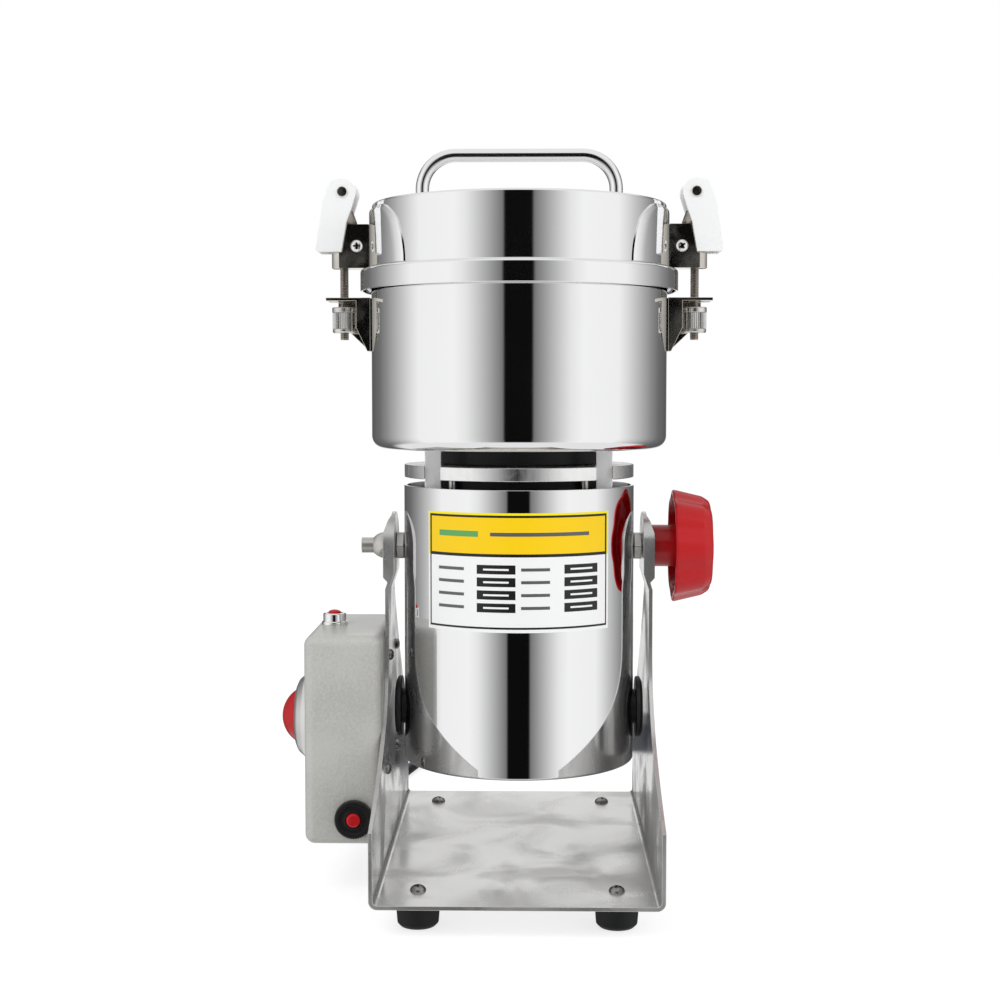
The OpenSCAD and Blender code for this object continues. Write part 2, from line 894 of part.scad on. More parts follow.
module plug_pins() {
    line_x = plug_relief_start + plug_relief_length + line_pin_place;
    color(steel) {
        for (side = [-1, 1]) translate([line_x, plug_y + side * pin_pitch, 0]) plug_pin(line_pin);
        translate([line_x + pin_row, plug_y, 0]) plug_pin(earth_pin);
    }
}

// Motor housing: a drawn steel can
module motor_housing() {
    color(steel) translate([0, 0, housing_bottom]) difference() {
        cylinder(r = housing_radius, h = housing_height);
        translate([0, 0, shell_wall]) cylinder(r = housing_inner, h = housing_height);
        translate([0, 0, housing_drop])
            rod_along_x(bolt_radius + running, -housing_radius - over, housing_radius + over);
        translate([0, 0, brush_height])
            rod_along_x(cap_neck_radius, -housing_radius - over, housing_radius + over);
        for (i = [0 : vent_count - 1]) rotate((i + 0.5) * 360 / vent_count)
            translate([vent_circle_share * housing_radius, 0, -over])
                cylinder(r = vent_radius, h = shell_wall + 2 * over);
    }
}

// Pivot bolts through the housing's wall, with spacer nuts in the gaps
bolt_head_face = housing_inner - bolt_head_back;
left_bolt_end = head_outer + play + dome_nut_height + bolt_left_stub;
right_bolt_end = head_outer + knob_length - knob_bore_end;

module pivot_bolts() {
    color(steel) translate([0, 0, pivot_height]) {
        for (side = [[-1, left_bolt_end], [1, right_bolt_end]]) mirror([side[0] < 0 ? 1 : 0, 0, 0]) {
            rod_along_x(bolt_radius, bolt_head_face, side[1]);
            slab_yz(bolt_head_face - bolt_head_height, bolt_head_face) hexagon(nut_across_flats);
        }
    }
}

module pivot_spacers() {
    color(steel) translate([0, 0, pivot_height]) both_sides() difference() {
        slab_yz(housing_radius, head_inner - play) hexagon(nut_across_flats);
        rod_along_x(bolt_radius, housing_radius - over, head_inner + over);
    }
}

module pivot_dome_nut() {
    start = head_outer + play;
    color(steel) translate([0, 0, pivot_height]) mirror([1, 0, 0]) difference() {
        intersection() {
            slab_yz(start, start + dome_nut_height) hexagon(nut_across_flats);
            translate([start, 0, 0]) scale([dome_nut_height / nut_across_flats * 1.6, 1, 1])
                sphere(r = nut_across_flats / 2 * hex_corner_share);
        }
        rod_along_x(bolt_radius, start - over, left_bolt_end + over);
    }
}

// Clamp knob on the right bolt: a lobed cup round a hub
module knob_outline() {
    cup = knob_length - knob_hub;
    polygon([
        [0, 0], [knob_hub_radius, 0], [knob_hub_radius, knob_length - knob_wall],
        [knob_radius - knob_taper - knob_wall, knob_length - knob_wall],
        [knob_radius - knob_wall, knob_hub], [knob_radius, knob_hub],
        [knob_radius - knob_taper * (cup - knob_edge) / cup, knob_length - knob_edge],
        [knob_radius - knob_taper - knob_edge, knob_length], [0, knob_length]
    ]);
}

module clamp_knob() {
    color(red) translate([head_outer + play, 0, pivot_height]) rotate([0, 90, 0]) difference() {
        rotate_extrude() knob_outline();
        translate([0, 0, -over])
            cylinder(r = bolt_radius + running, h = knob_length - knob_bore_end + over);
        for (i = [0 : knob_lobes - 1]) rotate((i + 0.5) * 360 / knob_lobes)
            translate([knob_radius + knob_scallop_radius - knob_scallop_depth, 0, knob_hub - over])
                cylinder(r = knob_scallop_radius, h = knob_length);
    }
}

// Label wrapped on the front of the housing
module rating_label() {
    color([0.96, 0.86, 0.35]) translate([0, 0, housing_top - label_top_gap - label_height])
        rotate(-90 - label_half_angle) rotate_extrude(angle = 2 * label_half_angle)
            translate([housing_radius, 0]) square([label_thickness, label_height]);
}

// Motor flange with the upper bearing's cup, notched for the four posts
post_x = post_x_share * housing_inner;
post_y = sqrt(pow(housing_inner - post_clear, 2) - pow(post_x + post_width / 2, 2)) - post_depth / 2;
neck_radius = norm([post_x - post_width / 2, post_y - post_depth / 2]) - neck_clear;
shroud_radius = motor_bolt_circle - motor_bolt_radius - shroud_clear;

module post_places() {
    for (x = [-1, 1], y = [-1, 1]) translate([x * post_x, y * post_y, 0]) children();
}

module bolt_places() {
    for (a = [45 : 90 : 315]) rotate(a) translate([motor_bolt_circle, 0, 0]) children();
}

module motor_flange() {
    cup = bearing_height + bearing_floor;
    color(steel) translate([0, 0, flange_z]) difference() {
        union() {
            cylinder(r = flange_radius, h = flange_thickness);
            translate([0, 0, -cup]) cylinder(r = bearing_outer + bearing_cup_wall, h = cup);
        }
        translate([0, 0, -cup - over]) cylinder(r = bearing_outer, h = bearing_height + over);
        translate([0, 0, -cup - over])
            cylinder(r = shaft_radius + shaft_gap, h = cup + flange_thickness + 2 * over);
        for (side = [-1, 1], end = [0, 1]) rotate(180 * end)
            translate([side * post_x - post_width / 2 - post_fit, post_y - post_depth / 2 - post_fit, -over])
                cube([post_width + 2 * post_fit, flange_radius, flange_thickness + 2 * over]);
        bolt_places() translate([0, 0, -over])
            cylinder(r = motor_bolt_radius, h = flange_thickness / 2 + over);
    }
}

module standoffs() {
    color(steel) post_places()
        translate([-post_width / 2, -post_depth / 2, housing_top - post_drop])
            cube([post_width, post_depth, post_drop + neck_height]);
}

module neck_sleeve() {
    sleeve_z = flange_z + flange_thickness;
    color(black) {
        translate([0, 0, sleeve_z]) tube(neck_radius, seal_radius, bowl_bottom - sleeve_z);
        translate([0, 0, flange_z - shroud_height])
            tube(shroud_radius, bearing_outer + bearing_cup_wall, shroud_height);
    }
}

// Motor: bracket, bearings, stator with its coils, and the bolts that hang it on the flange
bracket_z = shaft_z;
bracket_cup = bearing_height + bearing_floor;

module bearing_bracket() {
    color(dark_steel) translate([0, 0, bracket_z - bearing_floor]) difference() {
        union() {
            cylinder(r = motor_radius, h = bracket_disc);
            cylinder(r = bearing_outer + bearing_cup_wall / 2, h = bracket_cup);
        }
        translate([0, 0, bearing_floor]) cylinder(r = bearing_outer, h = bracket_cup);
        translate([0, 0, -over]) cylinder(r = shaft_radius + shaft_gap, h = bracket_cup);
        bolt_places() translate([0, 0, -over])
            cylinder(r = motor_bolt_radius + running, h = bracket_disc + 2 * over);
    }
}

module motor_bearings() {
    color(steel) {
        translate([0, 0, bracket_z])
            tube(bearing_outer, shaft_radius + running, bearing_height);
        translate([0, 0, flange_z - bearing_floor - bearing_height])
            tube(bearing_outer, shaft_radius + running, bearing_height);
    }
}

module motor_bolts() {
    head_z = bracket_z - bearing_floor;
    color(dark_steel) bolt_places() {
        translate([0, 0, head_z])
            cylinder(r = motor_bolt_radius, h = flange_z + flange_thickness / 2 - head_z);
        translate([0, 0, head_z - motor_bolt_head_height])
            cylinder(r = motor_bolt_head_radius, h = motor_bolt_head_height);
    }
}

module stator_core() {
    color(dark_steel) translate([0, 0, stator_z]) difference() {
        tube(motor_radius, stator_inner, stator_height);
        bolt_places() translate([0, 0, -over])
            cylinder(r = motor_bolt_radius + running, h = stator_height + 2 * over);
    }
}

module field_coils() {
    color(copper) for (z = [stator_z - coil_end_height, stator_z + stator_height])
        translate([0, 0, z]) tube(coil_end_outer, coil_end_inner, coil_end_height);
}

// Brushes: a tube, a carbon block and a screw cap on each side
module brush_holders() {
    inner = commutator_radius + brush_clear + brush_side / 2;
    half = brush_side / 2 + brush_tube_wall;
    color([0.75, 0.6, 0.25]) translate([0, 0, brush_z]) both_sides() difference() {
        translate([inner, -half, -half]) cube([housing_inner - inner - over, 2 * half, 2 * half]);
        translate([inner - over, -brush_side / 2, -brush_side / 2])
            cube([housing_radius, brush_side, brush_side]);
    }
}

module carbon_brushes() {
    start = commutator_radius + brush_clear;
    color([0.15, 0.15, 0.16]) translate([0, 0, brush_z]) both_sides()
        translate([start, -brush_side / 2, -brush_side / 2])
            cube([brush_length, brush_side, brush_side]);
}

module brush_caps() {
    color(black) translate([0, 0, brush_z]) both_sides() {
        rod_along_x(cap_neck_radius, housing_inner - over, housing_radius + cap_neck_height);
        rod_along_x(cap_radius, housing_radius + cap_neck_height - over,
                    housing_radius + cap_neck_height - over + cap_height);
    }
}

// Turning parts on the shaft
module motor_shaft() {
    color(steel) translate([0, 0, shaft_z]) cylinder(r = shaft_radius, h = shaft_top - shaft_z);
}

module armature() {
    color(dark_steel) translate([0, 0, stator_z])
        tube(armature_radius, shaft_radius, stator_height);
}

module commutator() {
    color(copper) translate([0, 0, brush_z - commutator_height / 2])
        tube(commutator_radius, shaft_radius, commutator_height);
}

module cooling_fan() {
    color([0.85, 0.85, 0.8]) translate([0, 0, fan_z]) difference() {
        union() {
            cylinder(r = fan_radius, h = fan_disc);
            cylinder(r = fan_hub_radius, h = fan_blade_height);
            for (i = [0 : fan_blades - 1]) rotate(i * 360 / fan_blades)
                translate([fan_hub_radius - over, -fan_blade_thickness / 2, 0])
                    cube([fan_radius - fan_hub_radius, fan_blade_thickness, fan_blade_height]);
        }
        translate([0, 0, -over]) cylinder(r = shaft_radius, h = fan_blade_height + 2 * over);
    }
}

// Bowl: a drawn cup with a flat rim
module bowl_outline(outer, bottom, corner, top) {
    translate([0, bottom]) square([outer - corner, corner]);
    translate([0, bottom + corner]) square([outer, top - bottom - corner]);
    translate([outer - corner, bottom + corner]) intersection() {
        circle(r = corner);
        translate([0, -corner]) square(corner);
    }
}

module bowl() {
    color(steel) translate([0, 0, bowl_bottom]) rotate_extrude() difference() {
        union() {
            bowl_outline(bowl_radius, 0, bowl_corner, bowl_height);
            translate([bowl_inner, bowl_height - shell_wall])
                square([rim_width + shell_wall, shell_wall]);
        }
        bowl_outline(bowl_inner, shell_wall, bowl_corner - shell_wall, bowl_height + over);
        translate([0, -over]) square([seal_radius, shell_wall + 2 * over]);
    }
}

module bowl_seal() {
    drop = min(seal_drop, neck_height - flange_gap - flange_thickness - over);
    color(black) translate([0, 0, bowl_bottom]) difference() {
        union() {
            translate([0, 0, -drop]) cylinder(r = seal_radius, h = drop + shell_wall);
            translate([0, 0, shell_wall]) cylinder(r = seal_flange_radius, h = seal_flange);
        }
        translate([0, 0, -drop - over])
            cylinder(r = shaft_radius + running, h = drop + shell_wall + seal_flange + 2 * over);
    }
}

// Blades, spacers and the nut that holds them
module blade(reach, thickness) {
    tip = blade_width * blade_tip_share / 2;
    difference() {
        union() {
            linear_extrude(thickness) polygon([
                [-reach, -tip], [0, -blade_width / 2], [reach, -tip],
                [reach - blade_width / 2, tip], [0, blade_width / 2], [-reach + blade_width / 2, tip]
            ]);
            cylinder(r = blade_hub_radius, h = thickness);
        }
        translate([0, 0, -over]) cylinder(r = shaft_radius, h = thickness + 2 * over);
    }
}

module lower_blade() {
    color(dark_steel) translate([0, 0, lower_blade_z]) rotate(20)
        blade(lower_blade_reach, lower_blade_thickness);
}

module upper_blade() {
    color(dark_steel) translate([0, 0, upper_blade_z]) rotate(110)
        blade(upper_blade_reach, upper_blade_thickness);
}

module blade_spacers() {
    color(steel) {
        translate([0, 0, spacer_start]) tube(spacer_radius, shaft_radius, spacer_low);
        translate([0, 0, lower_blade_z + lower_blade_thickness])
            tube(spacer_radius, shaft_radius, spacer_high);
    }
}

module blade_nut() {
    color(steel) translate([0, 0, blade_nut_z]) difference() {
        linear_extrude(blade_nut_height) hexagon(blade_nut_flats);
        translate([0, 0, -over]) cylinder(r = shaft_radius, h = blade_nut_height + 2 * over);
    }
}

// Lid: a drawn cap with a skirt over the bowl's rim
module lid_profile(outer, corner, bottom, top) {
    translate([0, bottom]) square([outer, top - bottom - corner]);
    translate([0, bottom]) square([outer - corner, top - bottom]);
    translate([outer - corner, top - corner]) intersection() {
        circle(r = corner);
        square(corner);
    }
}

module lid() {
    color(steel) rotate_extrude() difference() {
        union() {
            lid_profile(lid_radius, lid_corner, lid_seat, lid_top);
            translate([0, skirt_bottom]) square([skirt_radius, skirt_height]);
        }
        lid_profile(lid_inner, lid_corner - shell_wall, skirt_bottom - over, lid_top - shell_wall);
        translate([0, skirt_bottom - over])
            square([skirt_inner, lid_seat - skirt_bottom + over]);
    }
}

module lid_gasket() {
    color([0.85, 0.85, 0.83]) translate([0, 0, bowl_rim_top])
        tube(bowl_radius + rim_width, bowl_inner, gasket_thickness);
}

// Handle: one bent rod on the lid
module lid_handle() {
    color(steel) {
        for (side = [-1, 1]) {
            translate([side * handle_leg, 0, lid_top])
                cylinder(r = handle_radius, h = handle_top - handle_bend - lid_top);
            translate([side * (handle_leg - handle_bend), 0, handle_top - handle_bend])
                rotate([90, 0, 0]) rotate(side > 0 ? 0 : 90) rotate_extrude(angle = 90)
                    translate([handle_bend, 0]) circle(r = handle_radius);
        }
        translate([0, 0, handle_top])
            rod_along_x(handle_radius, -handle_leg + handle_bend, handle_leg - handle_bend);
    }
}

// Pad, catch and cross screw of each clamp, on the lid
module latch_pads() {
    shoulder = pad_bottom + pad_shoulder_share * (pad_top - pad_bottom);
    color(steel) both_sides() intersection() {
        translate([0, 0, pad_bottom]) tube(pad_radius, lid_radius, pad_top - pad_bottom);
        slab_yz(-pad_radius - over, 0) polygon([
            [-pad_half_bottom, pad_bottom], [pad_half_bottom, pad_bottom],
            [pad_half_shoulder, shoulder], [pad_half_top, pad_top],
            [-pad_half_top, pad_top], [-pad_half_shoulder, shoulder]
        ]);
    }
}

// The slot through which a rod swings out of a plate
module rod_slot(z, height) {
    half = rod_radius + slot_gap;
    translate([rod_x, 0, z - over]) cylinder(r = half, h = height + 2 * over);
    translate([rod_x - bowl_radius, -half, z - over]) cube([bowl_radius, 2 * half, height + 2 * over]);
}

module lid_catches() {
    cheek = catch_half - catch_sheet;
    outer = rod_x - catch_reach;
    color(dark_steel) both_sides() difference() {
        union() {
            translate([outer, -catch_half, catch_bottom])
                cube([-pad_radius - outer, 2 * catch_half, catch_height]);
            translate([rod_x, 0, catch_bottom]) cylinder(r = catch_half, h = catch_toe_height);
        }
        translate([outer - over, -cheek, catch_bottom + catch_toe_height])
            cube([-pad_radius - catch_sheet - outer + over, 2 * cheek,
                  catch_height - catch_toe_height - catch_sheet]);
        translate([rod_x, -cheek, catch_bottom + catch_sheet])
            cube([-pad_radius - catch_sheet - rod_x, 2 * cheek, catch_toe_height]);
        translate([rod_x, 0, catch_bottom + catch_sheet])
            cylinder(r = cheek, h = catch_toe_height);
        rod_slot(catch_bottom, catch_height);
        translate([rod_x + catch_screw_in, 0, catch_bottom + catch_screw_rise])
            rod_along_y(catch_screw_radius, -catch_half - over, catch_half + over);
    }
}

module catch_screws() {
    color(steel) both_sides()
        translate([rod_x + catch_screw_in, 0, catch_bottom + catch_screw_rise]) {
            rod_along_y(catch_screw_radius, -catch_half, catch_half);
            for (side = [-1, 1]) scale([1, side, 1])
                rod_along_y(catch_screw_head, catch_half, catch_half + catch_screw_head_height);
        }
}

// Bracket of each clamp on the bowl's wall: a slotted top, a gusset in front, and behind it
// a cheek with an ear that carries the nut's trunnion
module hinge_side_outline(reach) {
    inner = -bowl_radius;
    polygon([
        [inner, hinge_top_z + hinge_sheet], [rod_x - hinge_toe, hinge_top_z + hinge_sheet],
        [rod_x - hinge_toe, hinge_top_z], [reach, hinge_top_z], [reach, swing_z],
        [max(reach, rod_x), swing_z - hinge_ear],
        [inner - hinge_sheet, swing_z - hinge_tail], [inner, swing_z - hinge_tail]
    ]);
}

module bowl_brackets() {
    wall = -bowl_radius - hinge_sheet;
    color(dark_steel) both_sides() difference() {
        union() {
            slab_xz(-hinge_half, -hinge_half + hinge_sheet)
                hinge_side_outline(rod_x + nut_radius + gusset_clear);
            slab_xz(hinge_half - hinge_sheet, hinge_half) {
                hinge_side_outline(rod_x - hinge_ear);
                translate([rod_x, swing_z]) circle(r = hinge_ear);
            }
            translate([rod_x - hinge_toe, -hinge_half, hinge_top_z])
                cube([-bowl_radius - rod_x + hinge_toe, 2 * hinge_half, hinge_sheet]);
            translate([wall, -hinge_half, swing_z - hinge_tail])
                cube([hinge_sheet, 2 * hinge_half, hinge_top_z - swing_z + hinge_tail]);
        }
        rod_slot(hinge_top_z, hinge_sheet);
        translate([rod_x, 0, swing_z])
            rod_along_y(trunnion_radius + running, 0, hinge_half + over);
    }
}

// Rod of a clamp: an eye on top, a stop collar above the catch
module latch_rod() {
    collar_z = catch_top + play;
    color(dark_steel) translate([rod_x, 0, 0]) difference() {
        union() {
            translate([0, 0, swing_z - rod_tip])
                cylinder(r = rod_radius, h = lever_z - swing_z + rod_tip);
            translate([0, 0, collar_z])
                cylinder(r1 = collar_low_radius, r2 = collar_high_radius, h = rod_collar_height);
            translate([0, 0, lever_z]) rod_along_y(eye_radius, -eye_half, eye_half);
        }
        translate([0, 0, lever_z]) rod_along_y(pin_radius, -eye_half - over, eye_half + over);
    }
}

// Knurled nut on the rod, with a trunnion at its back in the bracket's cheek
module latch_nut() {
    color(steel) translate([rod_x, 0, swing_z]) difference() {
        union() {
            translate([0, 0, -nut_half]) {
                cylinder(r = nut_radius - nut_tooth_radius, h = 2 * nut_half);
                for (i = [0 : nut_teeth - 1]) rotate(i * 360 / nut_teeth)
                    translate([nut_radius - nut_tooth_radius, 0, nut_half / 4])
                        cylinder(r = nut_tooth_radius, h = 1.5 * nut_half, $fn = 12);
            }
            rod_along_y(trunnion_radius, 0, hinge_half);
        }
        translate([0, 0, -nut_half - over])
            cylinder(r = rod_radius, h = 2 * (nut_half + over));
    }
}

// Lever: a pressed channel that turns on the rod's eye
lever_outer_edge = [
    [-lever_out_top, lever_disc * 0.85], [-lever_out_neck, lever_disc / 7],
    [-lever_out_mid, -lever_disc * 0.7], [-lever_out_bottom, -lever_drop + lever_lip],
    [-lever_out_bottom + lever_lip, -lever_drop]
];

module lever_cheek_outline() {
    translate([rod_x, lever_z]) {
        circle(r = lever_disc);
        polygon(concat([[0, lever_disc]], lever_outer_edge, [
            [-lever_in_bottom, -lever_drop], [lever_in_mid, -lever_drop / 2],
            [lever_disc * 0.7, -lever_disc * 1.1], [lever_disc * 0.95, -lever_disc * 0.31]
        ]));
    }
}

module lever_web_outline() {
    translate([rod_x, lever_z]) polygon(concat(lever_outer_edge, [
        [-lever_out_bottom + lever_lip + lever_sheet, -lever_drop + lever_lip],
        [-lever_out_mid + lever_sheet, -lever_disc * 0.7],
        [-lever_out_neck + lever_sheet, lever_disc / 7],
        [-lever_out_top + lever_sheet, lever_disc * 0.75]
    ]));
}

module latch_lever() {
    color(steel) difference() {
        union() {
            for (side = [-1, 1]) translate([0, side * (lever_half - lever_sheet / 2), 0])
                slab_xz(-lever_sheet / 2, lever_sheet / 2) lever_cheek_outline();
            slab_xz(-lever_half, lever_half) lever_web_outline();
        }
        translate([rod_x, 0, lever_z])
            rod_along_y(pin_radius + running, -lever_half - over, lever_half + over);
    }
}

module lever_pin() {
    color(steel) translate([rod_x, 0, lever_z]) {
        rod_along_y(pin_radius, -lever_half - play, lever_half + play);
        for (side = [-1, 1]) scale([1, side, 1])
            rod_along_y(pin_head_radius, lever_half + play, lever_half + play + pin_head);
    }
}

place() base_bracket();
place() rubber_feet();
place() foot_screws();
place() control_box();
place() box_screws();
place() power_bezel();
place() power_button();
place() power_switch();
place() reset_collar();
place() reset_button();
place() overload_breaker();
place() lamp_bezel();
place() lamp_lens();
place() cord_gland();
place() cord_run();
place() cord_coil();
place() plug_body();
place() plug_pins();
place() motor_housing();
place() pivot_bolts();
place() pivot_spacers();
place() pivot_dome_nut();
place() clamp_knob();
place() rating_label();
place() motor_flange();
place() standoffs();
place() neck_sleeve();
place() motor_bolts();
place() stator_core();
place() field_coils();
place() bearing_bracket();
place() motor_bearings();
place() brush_holders();
place() carbon_brushes();
place() brush_caps();
place() motor_shaft();
place() armature();
place() commutator();
place() cooling_fan();
place() bowl();
place() bowl_seal();
place() lower_blade();
place() upper_blade();
place() blade_spacers();
place() blade_nut();
place() lid();
place() lid_gasket();
place() lid_handle();
place() latch_pads();
place() lid_catches();
place() catch_screws();
place() bowl_brackets();
place() latch_rod();  // left_latch_rod
place() mirror([1, 0, 0]) latch_rod();  // right_latch_rod
place() latch_nut();  // left_latch_nut
place() mirror([1, 0, 0]) latch_nut();  // right_latch_nut
place() latch_lever();  // left_latch_lever
place() mirror([1, 0, 0]) latch_lever();  // right_latch_lever
place() lever_pin();  // left_lever_pin
place() mirror([1, 0, 0]) lever_pin();  // right_lever_pin
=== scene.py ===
import math

import bmesh
import bpy
from mathutils import Matrix, Vector


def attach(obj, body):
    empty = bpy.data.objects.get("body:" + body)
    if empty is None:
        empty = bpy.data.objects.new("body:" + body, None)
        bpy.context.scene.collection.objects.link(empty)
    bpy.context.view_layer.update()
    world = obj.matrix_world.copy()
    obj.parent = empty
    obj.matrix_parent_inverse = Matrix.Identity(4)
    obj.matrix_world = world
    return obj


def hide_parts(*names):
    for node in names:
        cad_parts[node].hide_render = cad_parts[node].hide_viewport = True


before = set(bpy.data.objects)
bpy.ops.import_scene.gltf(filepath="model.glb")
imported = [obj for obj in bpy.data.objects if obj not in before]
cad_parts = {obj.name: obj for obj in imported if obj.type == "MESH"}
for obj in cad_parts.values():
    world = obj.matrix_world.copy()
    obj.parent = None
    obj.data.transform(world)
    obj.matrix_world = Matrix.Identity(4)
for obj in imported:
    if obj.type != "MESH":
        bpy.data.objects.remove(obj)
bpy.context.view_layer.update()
MM = 0.001


def feed(node, inputs):
    """Sets the node's inputs, each to a value, to an output or to a node's first output."""
    for socket, value in inputs.items():
        if isinstance(value, bpy.types.Node):
            value = value.outputs[0]
        if isinstance(value, bpy.types.NodeSocket):
            node.id_data.links.new(value, node.inputs[socket])
        else:
            node.inputs[socket].default_value = value
    return node


def add(tree, kind, inputs=None, **settings):
    """A new node in the tree with these settings and inputs."""
    node = tree.nodes.new(kind)
    for setting, value in settings.items():
        setattr(node, setting, value)
    return feed(node, inputs or {})


def calc(tree, operation, *values, **settings):
    """A math node over the values."""
    return add(tree, "ShaderNodeMath", dict(enumerate(values)), operation=operation, **settings)


def xyz(tree, x=0, y=0, z=0):
    """A vector of three numbers."""
    return add(tree, "ShaderNodeCombineXYZ", {"X": x, "Y": y, "Z": z})


def parts(tree, vector):
    """The vector's three numbers."""
    return add(tree, "ShaderNodeSeparateXYZ", {0: vector}).outputs


def mixed(tree, share, a, b):
    """Colour a, turning to colour b with the share."""
    return add(tree, "ShaderNodeMix", {"Factor": share, "A": a, "B": b},
               data_type="RGBA").outputs["Result"]


def new_tree(kind, name, sizes, *results):
    """A node group with these inputs, each a default or the name of a kind, and these outputs.
    Also gives the sockets of its input node, and its output node."""
    tree = bpy.data.node_groups.new(name, kind)
    for size, value in sizes.items():
        sort = {int: "Int", float: "Float", tuple: "Vector"}.get(type(value), value)
        socket = tree.interface.new_socket(size, in_out="INPUT", socket_type="NodeSocket" + sort)
        if sort != value:
            socket.default_value = value
    for result in results:
        sort = "Geometry" if result == "Geometry" else "Float"
        tree.interface.new_socket(result, in_out="OUTPUT", socket_type="NodeSocket" + sort)
    return tree, tree.nodes.new("NodeGroupInput").outputs, tree.nodes.new("NodeGroupOutput")


def new_material(name):
    """A material, and its node tree."""
    material = bpy.data.materials.new(name)
    material.use_nodes = True
    return material, material.node_tree


def placed(name, data):
    """An object of this data in the scene."""
    piece = bpy.data.objects.new(name, data)
    scene.collection.objects.link(piece)
    return piece


def settled(holder, name):
    """A piece of the holder's shape with its modifiers. The holder itself is thrown away."""
    bpy.context.view_layer.update()
    mesh = bpy.data.meshes.new_from_object(holder.evaluated_get(bpy.context.evaluated_depsgraph_get()))
    bpy.data.objects.remove(holder)
    mesh.name = name
    return placed(name, mesh)


# The studio: a pale floor, a white surround and two soft lamps. Polished steel shows what
# stands round it, so its surround has the dark strip and the grey sides of a product shot.
scene = bpy.context.scene
scene.view_settings.view_transform = "Standard"

camera_data = bpy.data.cameras.new("camera")
camera_data.sensor_width = 36
camera_data.lens = 59.3
camera_data.clip_start = 0.01
camera = placed("camera", camera_data)
camera.location = (0.01615, -0.843, 0.247)
camera.rotation_euler = (math.radians(90 - 3.58), 0, math.radians(1.096))
scene.camera = camera

world = bpy.data.worlds.new("studio")
scene.world = world
world.use_nodes = True
sky = world.node_tree
sky.nodes.clear()
towards = parts(sky, add(sky, "ShaderNodeTexCoord").outputs["Generated"])
flat = add(sky, "ShaderNodeVectorMath", {0: xyz(sky, towards["X"], towards["Y"])}, operation="NORMALIZE")
to_front = calc(sky, "MULTIPLY", parts(sky, flat)["Y"], -1)
half_turn = calc(sky, "DIVIDE", calc(sky, "ARCCOSINE", to_front), math.pi)
strips = add(sky, "ShaderNodeValToRGB", {0: half_turn})
# Degrees away from the camera's own direction, and how bright the surround is there
surround = [(0, 0.004), (10.2, 0.004), (12, 0.2), (18, 0.33), (25, 0.5), (32, 0.68),
            (40, 0.88), (50, 1.0), (82, 0.97), (91, 0.8), (100, 0.62), (111, 0.44),
            (123, 0.28), (137, 0.16), (159, 0.1), (166.5, 0.14), (170.5, 0.9), (180, 1.0)]
ramp = strips.color_ramp
while len(ramp.elements) < len(surround):
    ramp.elements.new(1.0)
for element, (degrees, level) in zip(ramp.elements, surround):
    element.position = degrees / 180
    element.color = (level, level, level, 1)
# The strips end at these heights, and an even white is above and below them
fades = [add(sky, "ShaderNodeMapRange", {"From Min": edge, "From Max": end, "Value": towards["Z"]},
             interpolation_type="SMOOTHSTEP") for edge, end in ((0.45, 0.62), (-0.45, -0.6))]
gloss_sky = mixed(sky, calc(sky, "MAXIMUM", *fades), strips.outputs["Color"], (0.86, 0.86, 0.87, 1))
ray = add(sky, "ShaderNodeLightPath").outputs
plain = mixed(sky, ray["Is Glossy Ray"], (0.72, 0.73, 0.74, 1), gloss_sky)
seen = calc(sky, "MAXIMUM", ray["Is Camera Ray"], ray["Is Transmission Ray"])
shine_of_sky = add(sky, "ShaderNodeBackground", {"Color": mixed(sky, seen, plain, (1, 1, 1, 1))})
add(sky, "ShaderNodeOutputWorld", {0: shine_of_sky})

for name, place, power in (("key_softbox", (-0.9, -1.1, 1.5), 11), ("fill_softbox", (1.2, -0.8, 1.0), 6)):
    lamp = bpy.data.lights.new(name, "AREA")
    lamp.shape = "SQUARE"
    lamp.size = 0.9
    lamp.energy = power
    box = bpy.data.objects.new(name, lamp)
    box.location = place
    box.rotation_euler = (Vector((0, 0, 0.15)) - Vector(place)).to_track_quat("-Z", "Y").to_euler()
    box.visible_glossy = False
    scene.collection.objects.link(box)

floor_mesh = bpy.data.meshes.new("studio_floor")
floor_mesh.from_pydata([(-6, -6, 0), (6, -6, 0), (6, 6, 0), (-6, 6, 0)], [], [(0, 1, 2, 3)])
studio_floor = placed("studio_floor", floor_mesh)
studio_floor.visible_glossy = False
floor_paint, ground = new_material("studio_floor")
ground.nodes.clear()
matt = add(ground, "ShaderNodeBsdfDiffuse", {"Color": (0.93, 0.93, 0.93, 1)})
white = add(ground, "ShaderNodeEmission", {"Strength": 1.3})
share = calc(ground, "MULTIPLY", add(ground, "ShaderNodeLightPath").outputs["Is Camera Ray"], 0.56)
both = add(ground, "ShaderNodeMixShader", {"Fac": share, 1: matt, 2: white})
add(ground, "ShaderNodeOutputMaterial", {0: both})
floor_mesh.materials.append(floor_paint)

# Mains cord: a round black lead of soft rubber, 6.5 mm thick, about 1.33 m long. It comes out
# of the box's back, lies down on the table and is wound up behind the mill.
AXIS_X = 9.75 * MM
CORD_R = 3.25 * MM


def moulded_grain_group():
    """Height and roughness of a moulded rubber or plastic skin."""
    tree, size, result = new_tree("ShaderNodeTree", "moulded_grain",
                                  {"Scale": 900.0, "Roughness": 0.5, "Spread": 0.12}, "Roughness", "Height")
    where = add(tree, "ShaderNodeTexCoord").outputs["Object"]
    grain = add(tree, "ShaderNodeTexNoise", {"Detail": 4, "Vector": where, "Scale": size["Scale"]})
    patches = add(tree, "ShaderNodeTexNoise", {"Scale": 35, "Detail": 5, "Vector": where})
    centred = calc(tree, "SUBTRACT", patches, 0.5)
    rough = calc(tree, "MULTIPLY_ADD", centred, size["Spread"], size["Roughness"])
    feed(result, {"Roughness": rough, "Height": grain})
    return tree


moulded_grain = moulded_grain_group()


